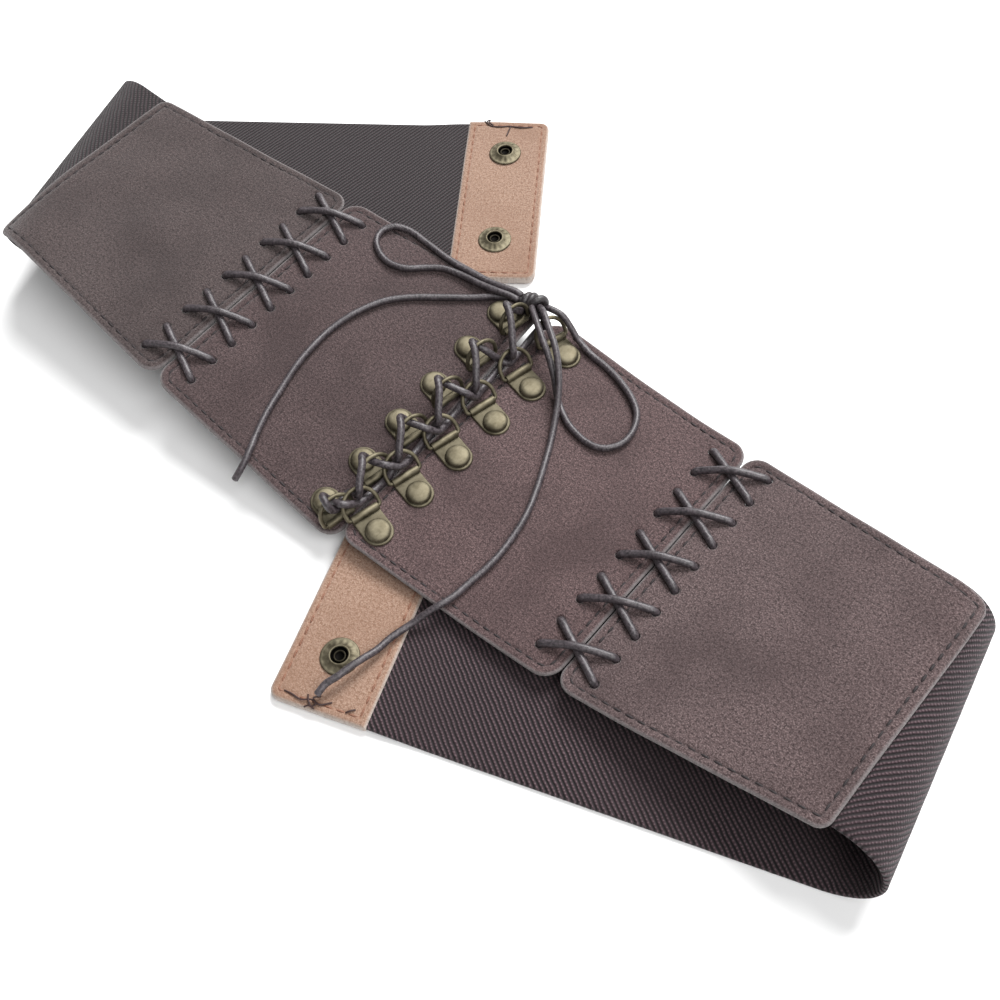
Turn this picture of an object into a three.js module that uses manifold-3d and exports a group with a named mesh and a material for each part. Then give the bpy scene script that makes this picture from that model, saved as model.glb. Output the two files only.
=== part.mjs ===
// Lace-up corset belt, lying face up with its two elastic ends folded under it.
// Millimetres, +Z up. X runs along the belt, Y across it, and the floor is z = 0.
// Each half is drawn flat as (u, v, n): u outward from its rivet row, v across the
// belt, n up from the underside of the leather. sheetPoint() lays that pattern down.
import * as THREE from 'three';
import { mergeVertices } from 'three/addons/utils/BufferGeometryUtils.js';
import Module from 'manifold-3d';

const wasm = await Module();
wasm.setup();

// Driving dimensions
const clearance = 0.3;
const laceDiameter = 2.5;
const laceSides = 5;

const panel = {
  thickness: 2,
  heightAtLacing: 122.5,
  heightAtSeam: 109.3,
  heightAtEnd: 88.2,
  rowToLacingEdge: 10.8,
  rowToSeam: 79.8,
  rowToEnd: 172.8,
  seamGap: 0.5,
  cornerRadius: 7,
  endRadius: 4,
};
const rivets = { count: 6, pitch: 20, shift: -1.4, holeDiameter: 3.6 };
const seam = { crosses: 5, pitch: 20.7, crossHeight: 10.8, shift: 0.4, holeToSeam: 11.5, holeDiameter: 3.6 };
const band = { width: 87.5, thickness: 1.6, overlap: 15 };
const tab = { length: 35.2, width: 88.7, skin: 0.8, socketDepth: 10, cornerRadius: 4, rampLength: 22 };
const snap = {
  spacing: 49, flangeDiameter: 13.4, flangeThickness: 0.5, rimDiameter: 9.6, recessDiameter: 5.8,
  height: 2.2, postDiameter: 4.4, postDepth: 1.8,
};
const plate = { width: 10.8, thickness: 0.8, length: 8.2, turn: 12, tubeDiameter: 2.8, boreDiameter: 1.9 };
const cap = { diameter: 9, height: 2.2, postDiameter: 3, backDiameter: 7.2, backThickness: 0.8 };
const ring = { wire: 1.5, sides: 5, legLength: 2.8, cornerRadius: 1, joint: 0.4 };
const knot = { length: 10, width: 6.5, height: 6.8, turn: 25, rise: 2.3 };

// How each half lies: the middle of its rivet row, its turn from the X axis, the skew of
// the fold against the leather's end, the height and slopes of its rise from the lacing
// outward, the lift of its far edge at the lacing, and the strap's length up to its tab and
// shift toward the far edge. The leather between the rivets and the lacing is wider at the
// far edge than at the near one by the share lacingFlare.
const halves = {
  left: {
    side: -1, rowX: -12.97, rowY: -1.41, turn: 1.89, skew: -16.3, lacingHeight: 9.5, edgeLift: 3.5,
    innerSlope: 8.5, outerSlope: 8.5, bendStart: 20, bendEnd: 70, rollStart: 165, strapLength: 373.5,
    strapShift: 1.2, lacingFlare: 0.15,
  },
  right: {
    side: 1, rowX: 12.97, rowY: 1.41, turn: -1.89, skew: 10.6, lacingHeight: 5.5, edgeLift: -2.2,
    innerSlope: -2, outerSlope: 14.9, bendStart: 20, bendEnd: 110, rollStart: 165, strapLength: 371.9,
    strapShift: 2.8, lacingFlare: 0.45,
  },
};
const edgeLiftReach = 130;

// How far each ring leans, in degrees from pointing flat at the other half, first row nearest.
const ringLean = {
  left: [122, 116, 110, 106, 104, 104],
  right: [42, 43, 45, 48, 52, 58],
};

const colours = {
  suede: 0x675a58,
  elastic: 0x3b2f30,
  tan: 0xc8a591,
  brass: 0xafa88c,
  lace: 0x50484c,
};

// Cord routes in the belt's frame, points chosen by hand along each cord.
const cordRoutes = {
  bow_loop_left: [
    [-11.4, 56.2, 16.6], [-14.5, 56, 17], [-18.5, 55, 17], [-25, 54, 16.5], [-32.5, 53.5, 16.5],
    [-39.5, 53, 16.5], [-47, 53, 17], [-57.5, 53.5, 18], [-65.5, 53.5, 19], [-71, 51, 20],
    [-73.5, 46.5, 20], [-72, 41.5, 20], [-66.5, 37.5, 19.5], [-60.5, 36.5, 19], [-54.5, 38.5, 18.5],
    [-49, 44, 17.5], [-44, 48, 17], [-36.5, 50.1, 16.5], [-27, 50.9, 16.8], [-19, 51.9, 17.4],
    [-14.5, 52.9, 17.4], [-11, 53.4, 17],
  ],
  lace_end_left: [
    [-11.6, 54.3, 14.2], [-14.5, 54, 14.7], [-19.5, 51.2, 14.9], [-26, 45.5, 15], [-35.5, 37.5, 16],
    [-44, 30, 17], [-50, 22.5, 18], [-52.5, 17, 18.5], [-55, 9, 19], [-56.5, -0.5, 19],
    [-56, -10.5, 19.5], [-54.5, -21, 19.5], [-52, -31, 19], [-48.5, -42.5, 19], [-45, -51, 18.7],
    [-42, -57, 18.8], [-40.5, -61.5, 18], [-40.5, -67, 14.5],
  ],
  bow_loop_right: [
    [-1, 58.3, 15], [2, 58.8, 15], [5.5, 59.4, 14], [9.5, 59, 11], [14, 57.8, 8], [21.5, 56, 6.5],
    [28.5, 55, 6.5], [37.5, 52.5, 7], [46, 48.5, 7.5], [51.5, 44, 7.9], [54.5, 38, 8],
    [55, 31.5, 8], [52.5, 26.5, 8], [49, 24, 8], [43.5, 23.5, 7.7], [35, 25.5, 7.7],
    [29.5, 28.5, 7.7], [24.5, 32, 8.5], [20, 36, 12], [15, 39.5, 16], [8, 44, 18.5],
    [0.5, 49.5, 18.8], [-4.2, 53.2, 17.7],
  ],
  lace_end_right: [
    [-2.1, 55.4, 17.2], [2.2, 52.4, 20.3], [8.5, 47.8, 19.9], [14.5, 43.5, 19], [19, 39.5, 17],
    [23, 35, 14], [26.5, 30, 11.5], [30, 24, 9.5], [34, 16.5, 8.2], [38.5, 7, 8],
    [43, -3.5, 8], [46.5, -13.5, 8.5], [48.5, -25.5, 8.5], [49, -35, 9], [48, -44, 9],
    [47, -53, 9.6], [45.5, -58, 9.8], [43.5, -62, 8], [41.5, -67, 6], [39.5, -74.5, 6],
    [39, -81.5, 7], [38, -87, 8.5], [37, -91.5, 9], [36, -96.5, 9], [34.5, -100.5, 8.3],
    [34.5, -104.5, 7.5],
  ],
};

// The height profile of one half: lines and arcs, each with a length and a turn.
function arcPath(start, segments) {
  const pieces = [];
  let { x, z, heading } = start;
  let s = 0;
  for (const { length, turn } of segments) {
    const piece = { s, x, z, heading, curvature: turn / length };
    pieces.push(piece);
    const end = alongPiece(piece, length);
    x = end.x;
    z = end.z;
    heading = end.heading;
    s += length;
  }
  return (at) => {
    const piece = pieces.findLast((p) => p.s <= at) ?? pieces[0];
    return alongPiece(piece, at - piece.s);
  };
}

function alongPiece(piece, t) {
  const { x, z, heading, curvature } = piece;
  if (Math.abs(curvature) < 1e-9) {
    return { x: x + t * Math.cos(heading), z: z + t * Math.sin(heading), heading };
  }
  const next = heading + curvature * t;
  return {
    x: x + (Math.sin(next) - Math.sin(heading)) / curvature,
    z: z + (Math.cos(heading) - Math.cos(next)) / curvature,
    heading: next,
  };
}

// Up to the roll the leather rises; the strap then rolls over and lands on the floor.
function layHalf(half) {
  const inner = THREE.MathUtils.degToRad(half.innerSlope);
  const outer = THREE.MathUtils.degToRad(half.outerSlope);
  const start = { x: 0, z: half.lacingHeight, heading: inner };
  const rise = [
    { length: half.bendStart, turn: 0 },
    { length: half.bendEnd - half.bendStart, turn: outer - inner },
    { length: half.rollStart - half.bendEnd, turn: 0 },
  ];
  const top = arcPath(start, rise)(half.rollStart);
  const rollRadius = (top.z + clearance) / (1 + Math.cos(outer));
  const halfTurn = Math.PI + outer;
  const roll = { length: rollRadius * halfTurn, turn: -halfTurn };
  const lyingFlat = { length: half.strapLength, turn: 0 };
  const skew = THREE.MathUtils.degToRad(half.skew);
  const turn = THREE.MathUtils.degToRad(half.turn);
  const outward = new THREE.Vector3(half.side * Math.cos(turn), half.side * Math.sin(turn), 0);
  const up = new THREE.Vector3(0, 0, 1);
  return {
    ...half,
    rollLength: roll.length,
    profile: arcPath(start, [...rise, roll, lyingFlat]),
    skewCos: Math.cos(skew),
    skewSin: Math.sin(skew),
    acrossFold: outward.clone().applyAxisAngle(up, half.side * skew),
    alongFold: outward.clone().applyAxisAngle(up, half.side * (skew + Math.PI / 2)),
  };
}
const laid = { left: layHalf(halves.left), right: layHalf(halves.right) };

function sheetPoint(half, u, v, n) {
  const flare = 1 + half.lacingFlare * (v / panel.heightAtLacing + 0.5);
  const outward = u < 0 ? u * flare : u;
  const across = outward * half.skewCos + v * half.skewSin;
  const along = v * half.skewCos - outward * half.skewSin;
  const { x, z, heading } = half.profile(across);
  const fade = Math.max(0, 1 - u / edgeLiftReach);
  const lift = half.edgeLift * (v / (panel.heightAtLacing / 2)) * fade * fade;
  return new THREE.Vector3(half.rowX, half.rowY, 0)
    .addScaledVector(half.acrossFold, x - n * Math.sin(heading))
    .addScaledVector(half.alongFold, along)
    .add(new THREE.Vector3(0, 0, z + n * Math.cos(heading) + lift));
}

// A right-handed frame on the sheet: x toward +X, y across the belt, z off the leather.
function sheetFrame(half, u, v, n) {
  const step = 0.5;
  const xAxis = sheetPoint(half, u + step, v, n)
    .sub(sheetPoint(half, u - step, v, n))
    .multiplyScalar(half.side)
    .normalize();
  const yAxis = sheetPoint(half, u, v + step, n).sub(sheetPoint(half, u, v - step, n)).normalize();
  const zAxis = xAxis.clone().cross(yAxis).normalize();
  yAxis.crossVectors(zAxis, xAxis);
  return new THREE.Matrix4().makeBasis(xAxis, yAxis, zAxis).setPosition(sheetPoint(half, u, v, n));
}

// Geometry helpers
function toSolid(geometry, matrix = new THREE.Matrix4()) {
  const bare = geometry.clone().applyMatrix4(matrix);
  bare.deleteAttribute('normal');
  bare.deleteAttribute('uv');
  const merged = mergeVertices(bare, 1e-4);
  return new wasm.Manifold(new wasm.Mesh({
    numProp: 3,
    vertProperties: new Float32Array(merged.attributes.position.array),
    triVerts: new Uint32Array(merged.index.array),
  }));
}

function toGeometry(solid) {
  const mesh = solid.getMesh();
  const geometry = new THREE.BufferGeometry();
  geometry.setAttribute('position', new THREE.BufferAttribute(new Float32Array(mesh.vertProperties), 3));
  geometry.setIndex(new THREE.BufferAttribute(new Uint32Array(mesh.triVerts), 1));
  geometry.computeVertexNormals();
  return geometry;
}

// Even positions from start up to, but not at, end.
function spread(start, end, spacing) {
  const count = Math.round((end - start) / spacing);
  return Array.from({ length: count }, (_, i) => start + ((end - start) * i) / count);
}
const coarseSpacing = 14;
const fineSpacing = 3.5;
const sheetStrips = 4;

// A closed sheet over stations { u, low, high }, between two heights given as functions of u.
function slab(half, stations, lower, upper, strips) {
  const positions = [];
  const vertex = (i, j, k) => (i * (strips + 1) + j) * 2 + k;
  for (const { u, low, high } of stations) {
    for (let j = 0; j <= strips; j += 1) {
      const v = low + ((high - low) * j) / strips;
      positions.push(...sheetPoint(half, u, v, lower(u)).toArray());
      positions.push(...sheetPoint(half, u, v, upper(u)).toArray());
    }
  }
  const index = [];
  const quad = (a, b, c, d) => {
    const loop = half.side > 0 ? [a, b, c, a, c, d] : [a, c, b, a, d, c];
    index.push(...loop);
  };
  const last = stations.length - 1;
  for (let i = 0; i < last; i += 1) {
    for (let j = 0; j < strips; j += 1) {
      quad(vertex(i, j, 1), vertex(i + 1, j, 1), vertex(i + 1, j + 1, 1), vertex(i, j + 1, 1));
      quad(vertex(i, j, 0), vertex(i, j + 1, 0), vertex(i + 1, j + 1, 0), vertex(i + 1, j, 0));
    }
    quad(vertex(i, 0, 0), vertex(i + 1, 0, 0), vertex(i + 1, 0, 1), vertex(i, 0, 1));
    quad(vertex(i, strips, 0), vertex(i, strips, 1), vertex(i + 1, strips, 1), vertex(i + 1, strips, 0));
  }
  for (let j = 0; j < strips; j += 1) {
    quad(vertex(0, j, 0), vertex(0, j, 1), vertex(0, j + 1, 1), vertex(0, j + 1, 0));
    quad(vertex(last, j, 0), vertex(last, j + 1, 0), vertex(last, j + 1, 1), vertex(last, j, 1));
  }
  const geometry = new THREE.BufferGeometry();
  geometry.setAttribute('position', new THREE.Float32BufferAttribute(positions, 3));
  geometry.setIndex(index);
  geometry.computeVertexNormals();
  return geometry;
}

// Stations of a tapered strip with its corners' radii at both ends, set close together past
// fineFrom, where the sheet starts to roll.
function roundedStations(start, end, heightAt, centre, startRadius, endRadius, fineFrom = Infinity) {
  const arcSteps = 4;
  const stations = [];
  const add = (u, inset) => {
    const halfHeight = heightAt(u) / 2 - inset;
    stations.push({ u, low: centre - halfHeight, high: centre + halfHeight });
  };
  const from = start + startRadius;
  const to = end - endRadius;
  if (startRadius > 0) {
    for (let i = 0; i < arcSteps; i += 1) {
      const angle = (i / arcSteps) * (Math.PI / 2);
      add(start + startRadius * (1 - Math.cos(angle)), startRadius * (1 - Math.sin(angle)));
    }
  }
  const coarseEnd = THREE.MathUtils.clamp(fineFrom, from, to);
  spread(from, coarseEnd, coarseSpacing).forEach((u) => add(u, 0));
  spread(coarseEnd, to, fineSpacing).forEach((u) => add(u, 0));
  add(to, 0);
  for (let i = arcSteps - 1; i >= 0; i -= 1) {
    const angle = (i / arcSteps) * (Math.PI / 2);
    add(end - endRadius * (1 - Math.cos(angle)), endRadius * (1 - Math.sin(angle)));
  }
  return stations;
}

// A curve that is sampled exactly at its own points.
class Route extends THREE.Curve {
  constructor(points) {
    super();
    this.points = points;
  }

  getPoint(t, target = new THREE.Vector3()) {
    const last = this.points.length - 1;
    const index = Math.min(Math.floor(t * last + 1e-6), last - 1);
    return target.lerpVectors(this.points[index], this.points[index + 1], t * last - index);
  }

  getPointAt(t, target) {
    return this.getPoint(t, target);
  }

  getTangentAt(t, target = new THREE.Vector3()) {
    const last = this.points.length - 1;
    const index = Math.round(t * last);
    const before = this.points[Math.max(index - 1, 0)];
    const after = this.points[Math.min(index + 1, last)];
    return target.subVectors(after, before).normalize();
  }
}

function tubeAlong(points, radius, sides) {
  const section = new THREE.Shape();
  for (let i = 0; i < sides; i += 1) {
    const angle = (i / sides) * 2 * Math.PI;
    const corner = [radius * Math.cos(angle), radius * Math.sin(angle)];
    if (i === 0) {
      section.moveTo(...corner);
    } else {
      section.lineTo(...corner);
    }
  }
  section.closePath();
  return new THREE.ExtrudeGeometry(section, { steps: points.length - 1, extrudePath: new Route(points) });
}

// Leather panels
const panelHeight = (u) => {
  const atSeam = THREE.MathUtils.inverseLerp(-panel.rowToLacingEdge, panel.rowToSeam, u);
  const atEnd = THREE.MathUtils.inverseLerp(panel.rowToSeam, panel.rowToEnd, u);
  return u < panel.rowToSeam
    ? THREE.MathUtils.lerp(panel.heightAtLacing, panel.heightAtSeam, atSeam)
    : THREE.MathUtils.lerp(panel.heightAtSeam, panel.heightAtEnd, atEnd);
};

function rivetPlace(row) {
  return rivets.shift + (row - (rivets.count - 1) / 2) * rivets.pitch;
}

function seamHole(cross, column, level) {
  const u = panel.rowToSeam + column * seam.holeToSeam;
  const centre = seam.shift + (cross - (seam.crosses - 1) / 2) * seam.pitch;
  return { u, v: centre + (level * seam.crossHeight) / 2 };
}

function punch(half, solid, places, diameter) {
  let cut = solid;
  const drill = new THREE.CylinderGeometry(diameter / 2, diameter / 2, 4 * panel.thickness, 8);
  drill.rotateX(Math.PI / 2);
  for (const { u, v } of places) {
    cut = cut.subtract(toSolid(drill, sheetFrame(half, u, v, panel.thickness / 2)));
  }
  return cut;
}

function makePanel(half, start, end, endRadius, holes) {
  const fineFrom = panel.rowToEnd - band.overlap;
  const stations = roundedStations(
    start, end, panelHeight, 0, panel.cornerRadius, endRadius, fineFrom);
  const sheet = toSolid(slab(half, stations, () => 0, () => panel.thickness, sheetStrips));
  let cut = sheet;
  for (const { places, diameter } of holes) {
    cut = punch(half, cut, places, diameter);
  }
  return toGeometry(cut);
}

function laceHoles(column) {
  const places = [];
  for (let cross = 0; cross < seam.crosses; cross += 1) {
    places.push(seamHole(cross, column, -1), seamHole(cross, column, 1));
  }
  return { places, diameter: seam.holeDiameter };
}

function makeInnerPanel(half) {
  const rivetPlaces = [];
  for (let row = 0; row < rivets.count; row += 1) {
    rivetPlaces.push({ u: 0, v: rivetPlace(row) });
  }
  const holes = [laceHoles(-1), { places: rivetPlaces, diameter: rivets.holeDiameter }];
  const end = panel.rowToSeam - panel.seamGap / 2;
  return makePanel(half, -panel.rowToLacingEdge, end, panel.cornerRadius, holes);
}

function makeOuterPanel(half) {
  const start = panel.rowToSeam + panel.seamGap / 2;
  return makePanel(half, start, panel.rowToEnd, panel.endRadius, [laceHoles(1)]);
}

// Elastic strap, sewn under the leather's end, lifted by the tab's lower skin at the tab
const strapLift = tab.skin + clearance;
function strapRise(half, u) {
  const t = (u - (half.strapLength - tab.rampLength)) / tab.rampLength;
  return strapLift * THREE.MathUtils.smoothstep(t, 0, 1);
}

function makeStrap(half) {
  const start = panel.rowToEnd - band.overlap;
  const end = half.strapLength + tab.socketDepth;
  const skewReach = (band.width / 2) * Math.abs(half.skewSin);
  const rollEnd = (half.rollStart + half.rollLength + skewReach) / half.skewCos;
  const stations = [];
  const add = (u) => stations.push({
    u, low: half.strapShift - band.width / 2, high: half.strapShift + band.width / 2,
  });
  const rampStart = half.strapLength - tab.rampLength;
  spread(start, rollEnd, fineSpacing).forEach(add);
  spread(rollEnd, rampStart, 3 * coarseSpacing).forEach(add);
  spread(rampStart, half.strapLength, 2 * fineSpacing).forEach(add);
  add(half.strapLength);
  add(end);
  const lower = (u) => -clearance - band.thickness - strapRise(half, u);
  const upper = (u) => -clearance - strapRise(half, u);
  return slab(half, stations, lower, upper, sheetStrips);
}

// Leather tab, folded round the strap's end
const tabThickness = 2 * tab.skin + 2 * clearance + band.thickness;
function makeTab(half) {
  const start = half.strapLength;
  const end = start + tab.length;
  const under = -clearance;
  const stations = roundedStations(
    start, end, () => tab.width, half.strapShift, 0, tab.cornerRadius);
  const body = toSolid(slab(half, stations, () => under - tabThickness, () => under, 1));
  const socketHalf = band.width / 2 + clearance;
  const socketTop = under - tab.skin;
  const socketBottom = under - tabThickness + tab.skin;
  const socket = [start - 1, start + tab.socketDepth + clearance].map((u) => ({
    u, low: half.strapShift - socketHalf, high: half.strapShift + socketHalf,
  }));
  let cut = body.subtract(toSolid(slab(half, socket, () => socketBottom, () => socketTop, 1)));
  const blind = new THREE.CylinderGeometry(
    snap.postDiameter / 2 + clearance, snap.postDiameter / 2 + clearance, 2 * snap.postDepth, 12);
  blind.rotateX(Math.PI / 2);
  for (const place of snapPlaces(half)) {
    cut = cut.subtract(toSolid(blind, sheetFrame(half, place.u, place.v, place.n)));
  }
  return toGeometry(cut);
}

// Press snaps on the tab's exposed face, each with a short post in the leather
function snapPlaces(half) {
  const u = half.strapLength + tab.length / 2;
  const n = -clearance - tabThickness;
  return [-1, 1].map((end) => ({ u, v: half.strapShift + (end * snap.spacing) / 2, n }));
}

function makeSnap() {
  const flange = snap.flangeDiameter / 2;
  const rim = snap.rimDiameter / 2;
  const recess = snap.recessDiameter / 2;
  const post = snap.postDiameter / 2;
  const flangeTop = clearance + snap.flangeThickness;
  const profile = [
    [0, clearance - snap.postDepth],
    [post, clearance - snap.postDepth],
    [post, clearance],
    [flange, clearance],
    [0.95 * flange, flangeTop],
    [1.05 * rim, 1.25 * flangeTop],
    [rim, snap.height],
    [recess, snap.height],
    [recess, flangeTop],
    [0, flangeTop],
  ].map(([x, y]) => new THREE.Vector2(x, y));
  const body = new THREE.LatheGeometry(profile, 12);
  return body.rotateX(Math.PI / 2);
}

// Hook plate with its rivet, flange and tube in one, the tube toward local +x
function makeHook() {
  const halfWidth = plate.width / 2;
  const tubeRadius = plate.tubeDiameter / 2;
  const outline = new THREE.Shape();
  const reach = plate.length - 0.7 * tubeRadius;
  outline.moveTo(reach, -halfWidth);
  outline.lineTo(reach, halfWidth);
  outline.lineTo(0, halfWidth);
  outline.absarc(0, 0, halfWidth, Math.PI / 2, (3 * Math.PI) / 2, false);
  const flange = new THREE.ExtrudeGeometry(outline, {
    depth: plate.thickness, bevelEnabled: false, curveSegments: 6,
  });
  const ringShape = new THREE.Shape().absarc(0, 0, tubeRadius, 0, 2 * Math.PI, false);
  ringShape.holes.push(new THREE.Path().absarc(0, 0, plate.boreDiameter / 2, 0, 2 * Math.PI, true));
  const tube = new THREE.ExtrudeGeometry(ringShape, {
    depth: plate.width, bevelEnabled: false, curveSegments: 4,
  });
  tube.translate(0, 0, -halfWidth).rotateX(Math.PI / 2).translate(plate.length, 0, tubeRadius);
  const post = cap.postDiameter / 2;
  const back = cap.backDiameter / 2;
  const head = cap.diameter / 2;
  const underside = -clearance - panel.thickness - clearance;
  const profile = [
    [0, underside - cap.backThickness],
    [back, underside - cap.backThickness],
    [back, underside],
    [post, underside],
    [post, plate.thickness / 2],
    [head - 0.2, plate.thickness / 2],
    [head, plate.thickness + 0.2 * cap.height],
    [0.88 * head, plate.thickness + 0.7 * cap.height],
    [0.5 * head, plate.thickness + 0.95 * cap.height],
    [0, plate.thickness + cap.height],
  ].map(([x, y]) => new THREE.Vector2(x, y));
  const rivet = new THREE.LatheGeometry(profile, 8).rotateX(Math.PI / 2);
  return toGeometry(toSolid(flange).add(toSolid(tube)).add(toSolid(rivet)));
}

// D-ring: a bent wire whose butt joint is inside the tube, the loop toward local +x
const ringHalfWidth = plate.width / 2 + clearance + ring.wire / 2;
const ringDepth = ring.legLength + ringHalfWidth;
function ringPoints() {
  const points = [];
  const cornerSteps = 1;
  const loopSteps = 8;
  const corner = ring.cornerRadius;
  points.push(new THREE.Vector3(0, -ring.joint / 2, 0));
  points.push(new THREE.Vector3(0, -plate.width / 4, 0));
  for (let i = 0; i <= cornerSteps; i += 1) {
    const angle = (i / cornerSteps) * (Math.PI / 2);
    const x = corner * (1 - Math.cos(angle));
    const y = -(ringHalfWidth - corner) - corner * Math.sin(angle);
    points.push(new THREE.Vector3(x, y, 0));
  }
  for (let i = 0; i <= loopSteps; i += 1) {
    const angle = -Math.PI / 2 + (i / loopSteps) * Math.PI;
    const x = ring.legLength + ringHalfWidth * Math.cos(angle);
    points.push(new THREE.Vector3(x, ringHalfWidth * Math.sin(angle), 0));
  }
  for (let i = cornerSteps; i >= 0; i -= 1) {
    const angle = (i / cornerSteps) * (Math.PI / 2);
    const x = corner * (1 - Math.cos(angle));
    const y = ringHalfWidth - corner + corner * Math.sin(angle);
    points.push(new THREE.Vector3(x, y, 0));
  }
  points.push(new THREE.Vector3(0, plate.width / 4, 0));
  points.push(new THREE.Vector3(0, ring.joint / 2, 0));
  return points;
}

// Where a hook sits, and where its ring does, as matrices in the belt's frame
function hookMatrix(half, row) {
  const pointing = half.side < 0 ? 0 : Math.PI;
  const turn = pointing - THREE.MathUtils.degToRad(plate.turn);
  return sheetFrame(half, 0, rivetPlace(row), panel.thickness + clearance)
    .multiply(new THREE.Matrix4().makeRotationZ(turn));
}

function ringMatrix(half, row, lean) {
  return hookMatrix(half, row)
    .multiply(new THREE.Matrix4().makeTranslation(plate.length, 0, plate.tubeDiameter / 2))
    .multiply(new THREE.Matrix4().makeRotationY(-THREE.MathUtils.degToRad(lean)));
}

// Lace through the two leathers of a seam: crosses in front, short runs behind
const laceRadius = laceDiameter / 2;
const laceBend = 2;
const laceStep = 2.1;
function seamLaceRoute(half) {
  const front = panel.thickness + laceRadius + 0.2;
  const behind = -laceRadius - 0.2;
  const underColumns = half.side < 0 ? [1, -1] : [-1, 1];
  const points = [];
  const put = (u, v, n) => points.push(sheetPoint(half, u, v, n));
  const arcSteps = 2;
  // one quarter turn between the hole's axis and a run at height n that heads toward target
  const bend = (hole, target, n, entering) => {
    const du = target.u - hole.u;
    const dv = target.v - hole.v;
    const length = Math.hypot(du, dv);
    const sign = n > 0 ? 1 : -1;
    for (let i = 0; i <= arcSteps; i += 1) {
      const step = entering ? i : arcSteps - i;
      const angle = (step / arcSteps) * (Math.PI / 2);
      const out = laceBend * (1 - Math.sin(angle));
      const height = n - sign * laceBend * (1 - Math.cos(angle));
      put(hole.u + (du / length) * out, hole.v + (dv / length) * out, height);
    }
  };
  const cross = (from, to, lift) => {
    bend(from, to, front, false);
    for (const share of [0.3, 0.5, 0.7]) {
      const raise = share === 0.5 ? lift : 0.6 * lift;
      put(
        THREE.MathUtils.lerp(from.u, to.u, share), THREE.MathUtils.lerp(from.v, to.v, share), front + raise);
    }
    bend(to, from, front, true);
  };
  const topLift = laceDiameter + 0.3;
  for (let k = seam.crosses - 1; k >= 0; k -= 1) {
    const [first, second] = underColumns;
    const high = seamHole(k, first, 1);
    const low = seamHole(k, second, -1);
    const highBack = seamHole(k, second, 1);
    const lowBack = seamHole(k, first, -1);
    const above = { u: high.u, v: high.v + seam.pitch / 4 };
    const below = { u: lowBack.u, v: lowBack.v - seam.pitch / 4 };
    bend(high, above, behind, true);
    cross(high, low, 0);
    bend(low, highBack, behind, false);
    bend(highBack, low, behind, true);
    cross(highBack, lowBack, topLift);
    bend(lowBack, below, behind, false);
  }
  return points;
}

// Lace through the twelve rings: each pass wraps part of a turn round the ring's bow, at
// angles from the ring's own direction, with a lead clear of the ring before and after it
const ringWraps = {
  left: { angles: [215, 180, 135, 90, 45, 0], leadIn: [-0.6, -1.7], leadOut: [1, -1.2] },
  right: { angles: [100, 140, 180, 220, 260], leadIn: [0.3, 1.5], leadOut: [0.3, -1.5] },
};
function ringPass(side, row) {
  const matrix = ringMatrix(laid[side], row, ringLean[side][row]);
  const reach = ring.wire / 2 + laceRadius + 2 * clearance;
  const { angles, leadIn, leadOut } = ringWraps[side];
  const sway = 0.55 * laceDiameter;
  const around = angles.map((degrees) => {
    const angle = THREE.MathUtils.degToRad(degrees);
    return [Math.cos(angle), Math.sin(angle)];
  });
  const places = [leadIn, ...around, leadOut];
  return places.map(([out, over], index) => {
    const share = 1 - (2 * index) / (places.length - 1);
    return new THREE.Vector3(ringDepth + out * reach, sway * share, over * reach).applyMatrix4(matrix);
  });
}

// The low channel between the two rows of tubes, at a row that may be a fraction
function channelPoint(row) {
  const tubeAt = (side) => new THREE.Vector3().setFromMatrixPosition(ringMatrix(laid[side], row, 0));
  const right = tubeAt('right');
  return tubeAt('left').lerp(right, 0.5).setZ(right.z);
}

// The bow is tied against the far side of the top left ring, a little above its tube.
const topTube = new THREE.Vector3().setFromMatrixPosition(ringMatrix(laid.left, rivets.count - 1, 0));
const knotReach = ringHalfWidth + ring.wire / 2 + 2 * clearance + knot.width / 2;
const knotCentre = topTube.clone().add(new THREE.Vector3(0, knotReach, knot.rise));

// Where the lace's two strands leave the knot, as shares of its length, width and height
const knotLeads = { down: [-0.27, -0.6, -0.3], up: [0.23, -0.51, -0.22] };

// Down one strand and back up the other: a strand crosses high from a left ring's bow to
// the right ring of the next row down, and runs low between the tubes to the row after.
function ringLaceRoute() {
  const top = rivets.count - 1;
  const leaving = ([x, y, z]) => knotCentre.clone()
    .add(new THREE.Vector3(x * knot.length, y * knot.width, z * knot.height));
  const points = [leaving(knotLeads.down)];
  const lowRun = (row) => [0.2, 0.6, 1].map((share) => channelPoint(row + share));
  for (let row = top; row >= 0; row -= 1) {
    const onLeft = (top - row) % 2 === 0;
    points.push(...ringPass(onLeft ? 'left' : 'right', row));
    if (!onLeft && row > 0) {
      points.push(...lowRun(row - 1).reverse());
    }
  }
  points.push(channelPoint(-0.5).add(new THREE.Vector3(-0.9 * laceDiameter, 0, 2.3 * laceDiameter)));
  for (let row = 0; row <= top; row += 1) {
    const onLeft = (top - row) % 2 === 1;
    points.push(...ringPass(onLeft ? 'left' : 'right', row).reverse());
    if (onLeft) {
      points.push(...lowRun(row));
    }
  }
  points.push(leaving(knotLeads.up));
  const curve = new THREE.CatmullRomCurve3(points, false, 'centripetal');
  return settleLace(curve.getSpacedPoints(Math.round(curve.getLength() / laceStep)));
}

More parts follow.
